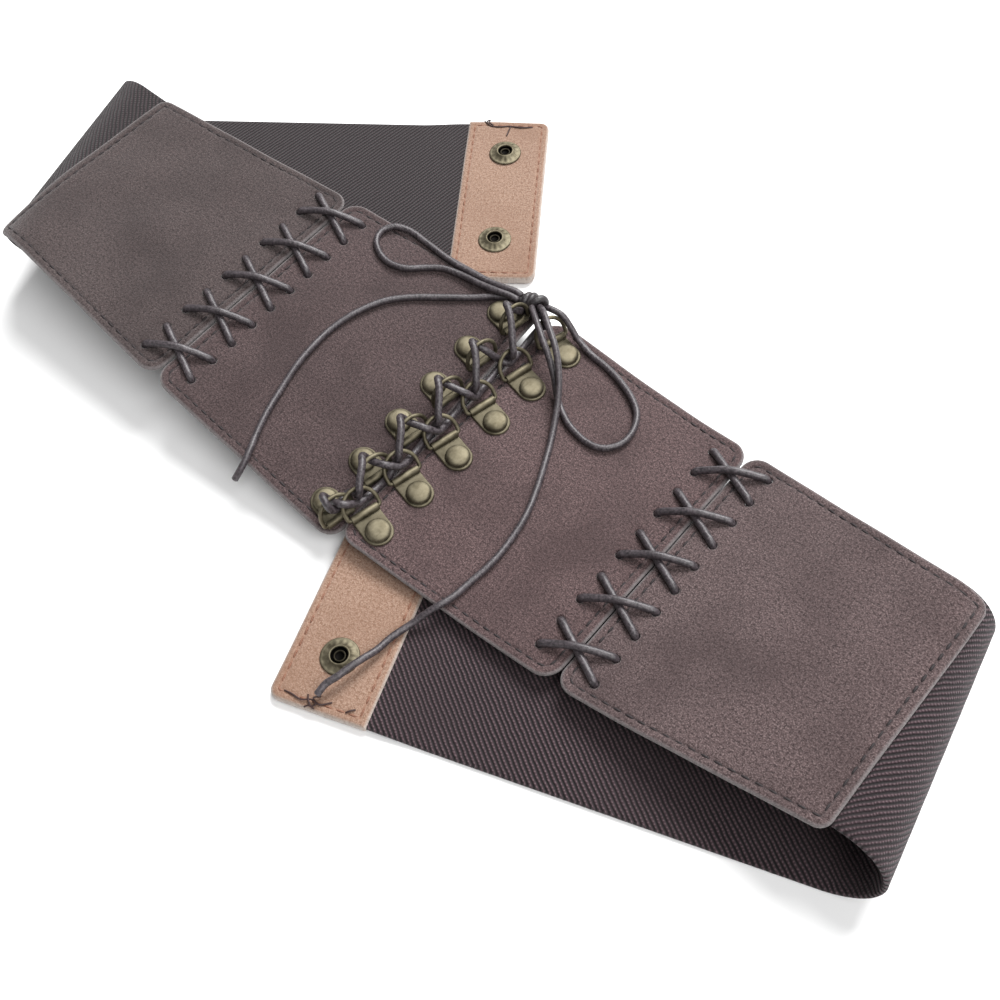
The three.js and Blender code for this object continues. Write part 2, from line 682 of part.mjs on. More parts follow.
// What the lace rests against, as round bars: { from, to, radius }
function laceSupports() {
  const bars = [];
  const addBars = (points, radius, matrix) => {
    const placed = points.map((point) => point.clone().applyMatrix4(matrix));
    for (let i = 1; i < placed.length; i += 1) {
      bars.push({ line: new THREE.Line3(placed[i - 1], placed[i]), radius });
    }
  };
  for (const [name, half] of Object.entries(laid)) {
    const edge = [];
    for (let share = -1; share <= 1; share += 0.25) {
      const v = (share * panel.heightAtLacing) / 2;
      edge.push(sheetPoint(half, panel.thickness / 2 - panel.rowToLacingEdge, v, panel.thickness / 2));
    }
    addBars(edge, panel.thickness / 2, new THREE.Matrix4());
    for (let row = 0; row < rivets.count; row += 1) {
      const hook = hookMatrix(half, row);
      const tubeAxis = [-1, 1].map((end) => new THREE.Vector3(
        plate.length, (end * plate.width) / 2, plate.tubeDiameter / 2));
      addBars(tubeAxis, plate.tubeDiameter / 2, hook);
      const capAxis = [0, plate.thickness].map((z) => new THREE.Vector3(0, 0, z));
      addBars(capAxis, cap.diameter / 2, hook);
      addBars(ringPoints(), ring.wire / 2, ringMatrix(half, row, ringLean[name][row]));
    }
  }
  return bars;
}

// Eases the lace, then keeps it clear of its supports and of its own other strands.
function settleLace(points) {
  const supports = laceSupports();
  const nearest = new THREE.Vector3();
  const away = new THREE.Vector3();
  const separate = (point, other, distance, share) => {
    away.subVectors(point, other);
    const short = distance - away.length();
    if (short > 0) {
      point.addScaledVector(away.normalize(), short * share);
    }
    return short > 0;
  };
  const ease = 0.2;
  const rounds = 80;
  const lastRounds = 10;
  const slack = 1.5 * clearance;
  for (let round = 0; round < rounds; round += 1) {
    if (round < rounds - lastRounds) {
      for (let i = 1; i < points.length - 1; i += 1) {
        nearest.addVectors(points[i - 1], points[i + 1]).multiplyScalar(0.5);
        points[i].lerp(nearest, ease);
      }
    }
    for (let i = 1; i < points.length - 1; i += 1) {
      for (let j = i + 5; j < points.length - 1; j += 1) {
        nearest.copy(points[j]);
        if (separate(points[j], points[i], laceDiameter + slack, 0.5)) {
          separate(points[i], nearest, laceDiameter + slack, 0.5);
        }
      }
      for (const { line, radius } of supports) {
        line.closestPointToPoint(points[i], true, nearest);
        separate(points[i], nearest, radius + laceRadius + slack, 1);
      }
    }
  }
  return points;
}

// The assembly
const belt = new THREE.Group();
function addPiece(name, geometry, colour, metalness, roughness, matrix) {
  const material = new THREE.MeshStandardMaterial({ color: colour, metalness, roughness });
  const mesh = new THREE.Mesh(geometry, material);
  mesh.name = name;
  if (matrix) {
    matrix.decompose(mesh.position, mesh.quaternion, mesh.scale);
  }
  belt.add(mesh);
}

for (const [name, half] of Object.entries(laid)) {
  addPiece(`panel_${name}_inner`, makeInnerPanel(half), colours.suede, 0, 0.9);
  addPiece(`panel_${name}_outer`, makeOuterPanel(half), colours.suede, 0, 0.9);
  addPiece(`elastic_${name}`, makeStrap(half), colours.elastic, 0, 0.85);
  addPiece(`tab_${name}`, makeTab(half), colours.tan, 0, 0.85);
  addPiece(`seam_lace_${name}`, tubeAlong(seamLaceRoute(half), laceRadius, laceSides), colours.lace, 0, 0.5);
  snapPlaces(half).forEach((place, index) => {
    const seat = sheetFrame(half, place.u, place.v, place.n);
    const flip = new THREE.Matrix4().makeRotationX(Math.PI);
    addPiece(`snap_${name}_${index + 1}`, makeSnap(), colours.brass, 0.9, 0.4, seat.multiply(flip));
  });
  for (let row = 0; row < rivets.count; row += 1) {
    const lean = ringLean[name][row];
    addPiece(`hook_${name}_${row + 1}`, makeHook(), colours.brass, 0.9, 0.4, hookMatrix(half, row));
    const wire = tubeAlong(ringPoints(), ring.wire / 2, ring.sides);
    addPiece(`ring_${name}_${row + 1}`, wire, colours.brass, 0.9, 0.35, ringMatrix(half, row, lean));
  }
}
addPiece('ring_lace', tubeAlong(ringLaceRoute(), laceRadius, laceSides), colours.lace, 0, 0.5);
const knotShape = new THREE.SphereGeometry(0.5, 12, 8).scale(knot.length, knot.width, knot.height);
const knotPlace = new THREE.Matrix4()
  .makeRotationZ(THREE.MathUtils.degToRad(knot.turn))
  .setPosition(knotCentre);
addPiece('bow_knot', knotShape, colours.lace, 0, 0.5, knotPlace);
const cordSides = 8;
const cordStep = 2.5 * laceDiameter;
for (const [name, route] of Object.entries(cordRoutes)) {
  const curve = new THREE.CatmullRomCurve3(route.map((p) => new THREE.Vector3(...p)), false, 'centripetal');
  const steps = Math.round(curve.getLength() / cordStep);
  addPiece(name, tubeAlong(curve.getSpacedPoints(steps), laceRadius, cordSides), colours.lace, 0, 0.5);
}

// The origin is the middle of the belt's footprint, the loose lace ends left out.
const footprint = new THREE.Box3();
for (const piece of belt.children) {
  if (!(piece.name in cordRoutes)) {
    footprint.expandByObject(piece, true);
  }
}
const middle = footprint.getCenter(new THREE.Vector3());
belt.position.set(-middle.x, -middle.y, -footprint.min.z);

const group = new THREE.Group();
group.add(belt);
export default group;
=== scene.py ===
"""Looks of the lace-up corset belt: leather, elastic, hardware, laces and the bow.

Metres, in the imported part's frame: X along the belt, Y across it, Z up, floor at z = 0.
"""
import math
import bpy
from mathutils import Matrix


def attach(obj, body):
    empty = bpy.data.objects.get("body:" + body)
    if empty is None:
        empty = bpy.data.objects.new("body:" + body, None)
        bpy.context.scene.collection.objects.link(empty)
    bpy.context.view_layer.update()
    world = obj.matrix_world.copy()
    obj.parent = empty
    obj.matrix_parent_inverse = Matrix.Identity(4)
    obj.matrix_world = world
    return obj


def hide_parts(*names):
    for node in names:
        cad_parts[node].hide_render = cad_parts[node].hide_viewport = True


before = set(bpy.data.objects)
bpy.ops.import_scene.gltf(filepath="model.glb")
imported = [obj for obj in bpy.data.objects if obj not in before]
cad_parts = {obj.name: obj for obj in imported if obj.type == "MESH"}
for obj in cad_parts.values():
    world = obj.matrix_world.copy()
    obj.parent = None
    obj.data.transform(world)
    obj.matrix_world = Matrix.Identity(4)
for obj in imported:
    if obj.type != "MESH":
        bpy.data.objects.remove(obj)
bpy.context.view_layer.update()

from types import SimpleNamespace

import bpy
import numpy as np
from mathutils import Matrix, Vector
from mathutils.geometry import delaunay_2d_cdt


def in_mm(**sizes):
    """Named sizes written in millimetres and kept in metres."""
    return SimpleNamespace(**{name: value / 1000 for name, value in sizes.items()})


def linked(name, data):
    """A new object in the scene."""
    thing = bpy.data.objects.new(name, data)
    bpy.context.scene.collection.objects.link(thing)
    return thing


# Camera, at the photograph's angle
camera_place = Vector((0.18069, -0.16749, 0.34553))
camera_looks = Vector((-0.3531, 0.3537, -0.8662))
camera_up = Vector((-0.5323, 0.6854, 0.4969))
lens_mm = 40.46
sensor_mm = 36
nearest = 0.01


def add_camera():
    data = bpy.data.cameras.new("camera")
    data.lens = lens_mm
    data.sensor_width = sensor_mm
    data.clip_start = nearest
    camera = linked("camera", data)
    right = camera_looks.cross(camera_up).normalized()
    up = right.cross(camera_looks).normalized()
    turn = Matrix((right, up, -camera_looks.normalized())).transposed()
    camera.matrix_world = Matrix.Translation(camera_place) @ turn.to_4x4()
    bpy.context.scene.camera = camera


# Sizes of the flat pattern
gap = 0.0003
lace_radius = 0.00125
panel = in_mm(
    thickness=2, height_at_lacing=122.5, height_at_seam=109.3, height_at_end=88.2,
    row_to_lacing_edge=10.8, row_to_seam=79.8, row_to_end=172.8, seam_gap=0.5, corner_radius=7,
    end_radius=4,
)
rivet_count = 6
rivets = in_mm(pitch=20, shift=-1.4)
seam_crosses = 5
seam = in_mm(pitch=20.7, cross_height=10.8, shift=0.4, hole_to_seam=11.5, hole_radius=1.5)
band = in_mm(width=87.5, thickness=1.6, overlap=15)
tab = in_mm(length=35.2, width=88.7, skin=0.8, socket_depth=10, corner_radius=4, ramp_length=22)
snap = in_mm(spacing=49, flange=6.7, rim=4.6, lip=3.6, recess=2.95, height=1.8, seat=0.3)
plate = in_mm(width=10.8, thickness=0.8, length=8.2, tube_radius=1.4, bore_radius=0.95)
plate_turn = math.radians(12)
cap = in_mm(radius=4.5, height=2.2, post_radius=1.5, back_radius=3.6, back_thickness=0.8)
ring = in_mm(wire_radius=0.75, leg_length=2.8, corner_radius=1)
knot = in_mm(length=10, width=6.5, height=6.8, rise=2.3)
knot_turn = math.radians(25)
tab_thickness = 2 * tab.skin + 2 * gap + band.thickness

# How far each ring leans, in degrees from pointing flat at the other half, first row nearest
ring_lean = {
    "left": [122, 116, 110, 106, 104, 104],
    "right": [42, 43, 45, 48, 52, 58],
}

# From the belt's own frame, which the pattern is laid in, to the part's frame
belt_shift = np.array((0.0077675, -0.0157690, 0.0))
edge_lift_reach = 0.130


class Half:
    """One half of the belt, which lays its flat pattern down: u outward, v across, n up."""

    def __init__(self, side, row, turn, skew, heights, slopes, bends, strap_length, strap_shift,
                 lacing_flare):
        self.side = side
        self.strap_shift = strap_shift
        self.lacing_flare = lacing_flare
        self.row = np.array((*row, 0.0))
        self.strap_length = strap_length
        lacing_height, self.edge_lift = heights
        inner, outer = (math.radians(slope) for slope in slopes)
        bend_start, bend_end, self.roll_start = bends
        turn = math.radians(turn)
        skew = math.radians(skew)
        self.skew_cos = math.cos(skew)
        self.skew_sin = math.sin(skew)
        heading = turn + side * skew
        self.across_fold = side * np.array((math.cos(heading), math.sin(heading), 0.0))
        along = heading + side * math.pi / 2
        self.along_fold = side * np.array((math.cos(along), math.sin(along), 0.0))
        rise = [
            (bend_start, 0.0),
            (bend_end - bend_start, outer - inner),
            (self.roll_start - bend_end, 0.0),
        ]
        self.pieces = [(0.0, 0.0, lacing_height, inner, 0.0)]
        self.lay_pieces(rise)
        top = self.profile(np.array([self.roll_start]))[1][0]
        half_turn = math.pi + outer
        self.roll_length = (top + gap) / (1 + math.cos(outer)) * half_turn
        self.lay_pieces([*rise, (self.roll_length, -half_turn), (strap_length, 0.0)])

    def lay_pieces(self, segments):
        """The cross-section's lines and arcs: start, x, z, heading and curvature of each."""
        start, x, z, heading, _ = self.pieces[0]
        self.pieces = []
        for length, turn in segments:
            self.pieces.append((start, x, z, heading, turn / length))
            x, z, heading = (value[0] for value in self.profile(np.array([start + length])))
            start += length

    def profile(self, across):
        """Place and heading on the cross-section, at distances from the rivet row."""
        x = np.zeros_like(across)
        z = np.zeros_like(across)
        heading = np.zeros_like(across)
        for number, (start, x0, z0, heading0, curvature) in enumerate(self.pieces):
            here = (across >= start) | (number == 0)
            t = across[here] - start
            turned = heading0 + curvature * t
            heading[here] = turned
            if abs(curvature) < 1e-9:
                x[here] = x0 + t * math.cos(heading0)
                z[here] = z0 + t * math.sin(heading0)
            else:
                x[here] = x0 + (np.sin(turned) - math.sin(heading0)) / curvature
                z[here] = z0 + (math.cos(heading0) - np.cos(turned)) / curvature
        return x, z, heading

    def lay(self, u, v, n):
        """Points of the part's frame for arrays of pattern coordinates."""
        u, v, n = (np.asarray(value, float) for value in np.broadcast_arrays(u, v, n))
        flare = 1 + self.lacing_flare * (v / panel.height_at_lacing + 0.5)
        u = np.where(u < 0, u * flare, u)
        across = u * self.skew_cos + v * self.skew_sin
        along = v * self.skew_cos - u * self.skew_sin
        x, z, heading = self.profile(across)
        fade = np.maximum(0, 1 - u / edge_lift_reach)
        lift = self.edge_lift * v / (panel.height_at_lacing / 2) * fade ** 2
        points = self.row + belt_shift
        points = points + np.multiply.outer(x - n * np.sin(heading), self.across_fold)
        points = points + np.multiply.outer(along, self.along_fold)
        return points + np.multiply.outer(z + n * np.cos(heading) + lift, np.array((0, 0, 1)))

    def seat(self, u, v, n):
        """A frame on the sheet: x toward +X, y across the belt, z off the leather."""
        step = 0.0005
        east, west, north, south, here = self.lay(
            [u + step, u - step, u, u, u], [v, v, v + step, v - step, v], n)
        x_axis = Vector(self.side * (east - west)).normalized()
        z_axis = x_axis.cross(Vector(north - south)).normalized()
        y_axis = z_axis.cross(x_axis)
        turn = Matrix((x_axis, y_axis, z_axis)).transposed().to_4x4()
        return Matrix.Translation(here) @ turn


halves = {
    "left": Half(
        side=-1, row=(-0.01297, -0.00141), turn=1.89, skew=-16.3, heights=(0.0095, 0.0035),
        slopes=(8.5, 8.5), bends=(0.020, 0.070, 0.165), strap_length=0.3735, strap_shift=0.0012,
        lacing_flare=0.15),
    "right": Half(
        side=1, row=(0.01297, 0.00141), turn=-1.89, skew=10.6, heights=(0.0055, -0.0022),
        slopes=(-2, 14.9), bends=(0.020, 0.110, 0.165), strap_length=0.3719, strap_shift=0.0028,
        lacing_flare=0.45),
}


# Mesh helpers
def add_piece(name, points, faces, material, replaces=(), uv=None, values=None):
    """A smooth-shaded mesh that rides on the belt. uv is one pair for each point."""
    mesh = bpy.data.meshes.new(name)
    mesh.from_pydata([tuple(point) for point in points], [], [tuple(face) for face in faces])
    mesh.materials.append(material)
    mesh.shade_smooth()
    if uv is not None:
        corners = np.zeros(len(mesh.loops), int)
        mesh.loops.foreach_get("vertex_index", corners)
        layer = mesh.uv_layers.new(name="pattern")
        layer.data.foreach_set("uv", np.asarray(uv, np.float32)[corners].ravel())
    for label, numbers in (values or {}).items():
        attribute = mesh.attributes.new(label, "FLOAT", "POINT")
        attribute.data.foreach_set("value", np.asarray(numbers, np.float32))
    piece = linked(name, mesh)
    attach(piece, "root")
    if replaces:
        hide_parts(*replaces)
    return piece


def full_turn(steps):
    return np.linspace(0, 2 * np.pi, steps, endpoint=False)


def run_along(points):
    """How far along a line each of its points is."""
    return np.concatenate(([0.0], np.cumsum(np.linalg.norm(np.diff(points, axis=0), axis=1))))


def bridge(first, second, count):
    """Quads between two rings of points that start at these indices."""
    return [
        (first + i, first + (i + 1) % count, second + (i + 1) % count, second + i)
        for i in range(count)
    ]


def stacked(rings, count):
    """Faces of a body made of rings of points, with its two ends filled."""
    faces = []
    for ring_number in range(rings - 1):
        faces += bridge(ring_number * count, (ring_number + 1) * count, count)
    faces.append(tuple(range(count))[::-1])
    faces.append(tuple(range((rings - 1) * count, rings * count)))
    return faces


def tube(path, radius, sides, closed=False):
    """Points, faces and (length, angle) of a round tube, with rounded ends if it is open."""
    end_reach = 0.35
    end_size = 0.6
    path = np.asarray(path, float)
    count = len(path)
    radii = np.full(count, radius)
    if closed:
        tangents = np.roll(path, -1, 0) - np.roll(path, 1, 0)
    else:
        tangents = np.gradient(path, axis=0)
        start = path[0] - tangents[0] / np.linalg.norm(tangents[0]) * radius * end_reach
        end = path[-1] + tangents[-1] / np.linalg.norm(tangents[-1]) * radius * end_reach
        path = np.vstack((start, path, end))
        radii = np.concatenate(([radius * end_size], radii, [radius * end_size]))
        tangents = np.vstack((tangents[0], tangents, tangents[-1]))
        count += 2
    tangents /= np.linalg.norm(tangents, axis=1)[:, None]
    normal = np.cross(tangents[0], (0, 0, 1))
    if np.linalg.norm(normal) < 1e-3:
        normal = np.cross(tangents[0], (1, 0, 0))
    normals = []
    for tangent in tangents:
        normal = normal - tangent * (normal @ tangent)
        normal = normal / np.linalg.norm(normal)
        normals.append(normal)
    normals = np.array(normals)
    if closed:
        # the frame's twist over one round is spread evenly along it
        back = normals[-1] - tangents[0] * (normals[-1] @ tangents[0])
        back /= np.linalg.norm(back)
        twist = math.atan2(np.cross(back, normals[0]) @ tangents[0], back @ normals[0])
    else:
        twist = 0.0
    binormals = np.cross(tangents, normals)
    angle = full_turn(sides)
    turned = angle[None, :] + np.linspace(0, twist, count)[:, None]
    ring_points = (
        path[:, None, :]
        + radii[:, None, None] * np.cos(turned)[..., None] * normals[:, None, :]
        + radii[:, None, None] * np.sin(turned)[..., None] * binormals[:, None, :]
    )
    if closed:
        faces = []
        for i in range(count):
            faces += bridge(i * sides, (i + 1) % count * sides, sides)
    else:
        faces = stacked(count, sides)
    around = np.tile(angle * np.mean(radii), count)
    uv = np.stack((np.repeat(run_along(path), sides), around), 1)
    return ring_points.reshape(-1, 3), faces, uv


def lathe(profile, sides):
    """Points and faces of a turned body. Its profile (radius, height) starts and ends on its axis."""
    angle = full_turn(sides)
    points = [(0, 0, profile[0][1])]
    for radius, height in profile[1:-1]:
        points += [(radius * math.cos(a), radius * math.sin(a), height) for a in angle]
    points.append((0, 0, profile[-1][1]))
    last = len(points) - 1
    faces = [(0, 1 + (i + 1) % sides, 1 + i) for i in range(sides)]
    for row in range(len(profile) - 3):
        faces += bridge(1 + row * sides, 1 + (row + 1) * sides, sides)
    top = last - sides
    faces += [(last, top + i, top + (i + 1) % sides) for i in range(sides)]
    return np.array(points, float), faces


def joined(parts):
    """Several (points, faces) as one."""
    points = []
    faces = []
    for part_points, part_faces in parts:
        offset = sum(len(p) for p in points)
        points.append(np.asarray(part_points, float))
        faces += [tuple(index + offset for index in face) for face in part_faces]
    return np.vstack(points), faces


def moved(points, matrix):
    """Points carried by a 4x4 matrix."""
    grid = np.array(matrix)
    return np.asarray(points, float) @ grid[:3, :3].T + grid[:3, 3]


def blended(first, second, t, start, end):
    """From the first point at the start to the second at the end."""
    return (end - t) / (end - start) * first + (t - start) / (end - start) * second


def smooth_path(points, spacing):
    """Evenly spaced points on the centripetal Catmull-Rom curve through a route's points, and
    the curve's length."""
    steps_between = 24
    points = np.asarray(points, float)
    padded = np.vstack((2 * points[0] - points[1], points, 2 * points[-1] - points[-2]))
    fine = []
    for p0, p1, p2, p3 in zip(padded, padded[1:], padded[2:], padded[3:]):
        chords = (p1 - p0, p2 - p1, p3 - p2)
        t0, t1, t2, t3 = np.cumsum([0.0] + [np.linalg.norm(chord) ** 0.5 for chord in chords])
        t = np.linspace(t1, t2, steps_between, endpoint=False)[:, None]
        a1 = blended(p0, p1, t, t0, t1)
        a2 = blended(p1, p2, t, t1, t2)
        a3 = blended(p2, p3, t, t2, t3)
        b1 = blended(a1, a2, t, t0, t2)
        b2 = blended(a2, a3, t, t1, t3)
        fine.append(blended(b1, b2, t, t1, t2))
    fine = np.vstack((*fine, points[-1]))
    run = run_along(fine)
    even = np.linspace(0, run[-1], max(2, round(run[-1] / spacing)) + 1)
    return np.stack([np.interp(even, run, fine[:, axis]) for axis in range(3)], 1), run[-1]


# Materials
class Shader:
    """A material and short ways to add nodes to it."""

    def __init__(self, name, roughness, metallic=0.0, sheen=0.0):
        self.material = bpy.data.materials.new(name)
        self.material.use_nodes = True
        self.tree = self.material.node_tree
        self.surface = self.tree.nodes["Principled BSDF"]
        self.surface.inputs["Roughness"].default_value = roughness
        self.surface.inputs["Metallic"].default_value = metallic
        self.surface.inputs["Sheen Weight"].default_value = sheen

    def set(self, node, socket, value):
        if isinstance(value, bpy.types.NodeSocket):
            self.tree.links.new(value, node.inputs[socket])
        else:
            node.inputs[socket].default_value = value

    def add(self, kind, inputs, output=0, **settings):
        """The output socket of a new node. inputs maps socket names or numbers to values."""
        node = self.tree.nodes.new(kind)
        for name, value in settings.items():
            setattr(node, name, value)
        for socket, value in inputs.items():
            self.set(node, socket, value)
        return node.outputs[output]

    def noise(self, vector, scale, detail=3.0, roughness=0.5, stretch=None):
        if stretch:
            vector = self.add("ShaderNodeMapping", {"Vector": vector, "Scale": stretch})
        inputs = {"Vector": vector, "Scale": scale, "Detail": detail, "Roughness": roughness}
        return self.add("ShaderNodeTexNoise", inputs)

    def remap(self, value, low, high, to_low=0.0, to_high=1.0):
        inputs = {
            "Value": value, "From Min": low, "From Max": high, "To Min": to_low, "To Max": to_high,
        }
        return self.add("ShaderNodeMapRange", inputs)

    def math(self, operation, first, second=0.0, third=0.0):
        return self.add("ShaderNodeMath", {0: first, 1: second, 2: third}, operation=operation)

    def mix(self, share, first, second):
        """A share of the second colour in the first. The node's colours are its sockets 6 and 7."""
        first, second = (
            (*tone, 1) if isinstance(tone, tuple) else tone for tone in (first, second))
        inputs = {0: share, 6: first, 7: second}
        return self.add("ShaderNodeMix", inputs, output=2, data_type="RGBA")

    def colour(self, value):
        self.set(self.surface, "Base Color", value)

    def bump(self, height, distance, strength):
        inputs = {"Height": height, "Distance": distance, "Strength": strength}
        self.set(self.surface, "Normal", self.add("ShaderNodeBump", inputs))

    def place(self):
        return self.add("ShaderNodeTexCoord", {}, output="Object")

    def pattern(self):
        return self.add("ShaderNodeTexCoord", {}, output="UV")

    def attribute(self, name):
        return self.add("ShaderNodeAttribute", {}, output="Fac", attribute_name=name)


def srgb(red, green, blue):
    """A display colour, 0 to 255, as linear light."""
    return tuple(
        value / 255 / 12.92 if value / 255 <= 0.04045 else ((value / 255 + 0.055) / 1.055) ** 2.4
        for value in (red, green, blue)
    )


def shaded_tone(shading, red, green, blue):
    """A display colour whose red, green and blue are scaled by three shares of painted light and
    shade.
    """
    return srgb(shading[0] * red, shading[1] * green, shading[2] * blue)


def suede_material(name, dark, middle, pale, cut_edge, groove, groove_inset):
    """Napped suede: specks and fine nap, a cut edge, and painted shade in the sewn groove."""
    shader = Shader(name, roughness=0.9, sheen=0.25)
    shader.surface.inputs["Sheen Roughness"].default_value = 0.5
    shader.surface.inputs["Specular IOR Level"].default_value = 0.2
    place = shader.pattern()
    clouds = shader.noise(place, 26, 4, 0.6)
    specks = shader.noise(place, 950, 4, 0.75)
    nap = shader.noise(place, 1900, 3, 0.7)
    tone = shader.mix(shader.remap(specks, 0.38, 0.6), dark, middle)
    tone = shader.mix(shader.remap(nap, 0.5, 0.7, 0, 0.6), tone, pale)
    tone = shader.mix(shader.remap(clouds, 0.45, 0.65, 0, 0.45), tone, dark)
    inset = shader.attribute("inset")
    # Painted shade along the sewn groove
    from_groove = shader.math("ABSOLUTE", shader.math("SUBTRACT", inset, groove_inset))
    tone = shader.mix(shader.remap(from_groove, 0.0007, 0.0002, 0, 0.3), tone, groove)
    at_edge = shader.remap(inset, 0.0011, 0.0002)
    worn = shader.math("MULTIPLY", at_edge, shader.remap(specks, 0.3, 0.6, 0.5, 1))
    tone = shader.mix(worn, tone, cut_edge)
    shader.colour(tone)
    height = shader.math("MULTIPLY_ADD", specks, 1.2, nap)
    shader.bump(height, 0.00045, 0.6)
    return shader.material


# Painted shade on the left half and painted light on the right, for each panel's hide and each
# strap's elastic, as shares of red, green and blue
panel_shading = {
    ("left", "outer"): (0.81, 0.82, 0.82),
    ("left", "inner"): (0.86, 0.83, 0.84),
    ("right", "inner"): (0.99, 0.94, 0.95),
    ("right", "outer"): (1.02, 1.01, 1.02),
}
strap_shading = {"left": (0.7, 0.68, 0.69), "right": (0.97, 0.93, 0.95)}


def elastic_material(name, shading):
    """Woven elastic: slanting ribs made of short threads, with painted shade between them and painted
    highlights on the threads.
    """
    rib_pitch = 0.0015
    rib_angle = math.radians(48)
    thread_pitch = 0.0011
    shader = Shader(name, roughness=0.75, sheen=0.1)
    shader.surface.inputs["Specular IOR Level"].default_value = 0.35
    pattern = shader.pattern()
    wobble = shader.noise(pattern, 260, 2)

    def wave_along(direction, pitch, waviness):
        across = tuple(value / pitch for value in direction)
        phase = shader.add(
            "ShaderNodeVectorMath", {0: pattern, 1: across}, output="Value", operation="DOT_PRODUCT")
        phase = shader.math("MULTIPLY_ADD", wobble, waviness, phase)
        return shader.remap(shader.math("SINE", shader.math("MULTIPLY", phase, 2 * math.pi)), -1, 1)

    rib = wave_along((math.sin(rib_angle), -math.cos(rib_angle), 0), rib_pitch, 0.5)
    thread = wave_along((math.cos(rib_angle), math.sin(rib_angle), 0), thread_pitch, 1.5)
    fuzz = shader.noise(pattern, 2400, 3, 0.7)
    clouds = shader.noise(pattern, 30, 3)
    # Painted shade between the ribs, and painted highlights where a rib's threads peak
    tone = shader.mix(shader.remap(rib, 0.2, 0.8), shaded_tone(shading, 12, 6, 9), shaded_tone(shading, 68, 53, 57))
    pale = shader.math("MULTIPLY", shader.remap(rib, 0.45, 1), shader.remap(thread, 0.4, 1))
    tone = shader.mix(shader.math("MULTIPLY", pale, 0.7), tone, shaded_tone(shading, 116, 98, 102))
    tone = shader.mix(shader.remap(fuzz, 0.5, 0.75, 0, 0.45), tone, shaded_tone(shading, 36, 26, 30))
    tone = shader.mix(shader.remap(clouds, 0.4, 0.7, 0, 0.3), tone, shaded_tone(shading, 44, 33, 36))
    shader.colour(tone)
    height = shader.math("MULTIPLY_ADD", shader.math("MULTIPLY", thread, rib), 0.45, rib)
    height = shader.math("MULTIPLY_ADD", fuzz, 0.3, height)
    shader.bump(height, 0.0006, 0.9)
    return shader.material


def metal_material():
    """Antique brass: paler where it rubs, with painted shade, near black, in the snaps' recesses and
    over the hook plates' faces.
    """
    shader = Shader("brass", roughness=0.6, metallic=1.0)
    place = shader.place()
    clouds = shader.noise(place, 240, 4, 0.6)
    scratches = shader.noise(place, 1500, 3, 0.6, stretch=(1.0, 0.2, 1.0))
    tone = shader.mix(shader.remap(clouds, 0.35, 0.68), srgb(91, 85, 70), srgb(133, 126, 107))
    tone = shader.mix(shader.remap(scratches, 0.56, 0.75, 0, 0.5), tone, srgb(78, 72, 56))
    # Painted shade: near black in the snaps' recesses and on their spring rings, and darker on the
    # hook plates' top faces
    tone = shader.mix(shader.attribute("depth"), tone, srgb(14, 13, 12))
    shader.colour(tone)
    shader.set(shader.surface, "Roughness", shader.remap(clouds, 0.3, 0.7, 0.54, 0.68))
    shader.bump(scratches, 0.00006, 0.5)
    return shader.material


def lace_material(name, dark, pale):
    """Waxed cord: dark, with a shine and a fine slanting lay."""
    shader = Shader(name, roughness=0.48)
    shader.surface.inputs["Coat Weight"].default_value = 0.3
    shader.surface.inputs["Coat Roughness"].default_value = 0.38
    place = shader.place()
    fibre = shader.noise(place, 1300, 3, 0.65, stretch=(1.0, 1.0, 0.5))
    clouds = shader.noise(place, 160, 3)
    tone = shader.mix(shader.remap(fibre, 0.35, 0.7), dark, pale)
    tone = shader.mix(shader.remap(clouds, 0.4, 0.65, 0, 0.4), tone, srgb(40, 33, 37))
    shader.colour(tone)
    shader.bump(fibre, 0.0003, 0.7)
    return shader.material


def plain_material(name, colour, roughness):
    """Thread: one colour, with a fine dark fibre in it."""
    shader = Shader(name, roughness=roughness)
    fibre = shader.noise(shader.place(), 2500, 2)
    dark = tuple(0.6 * value for value in colour)
    shader.colour(shader.mix(shader.remap(fibre, 0.35, 0.65), dark, colour))
    return shader.material


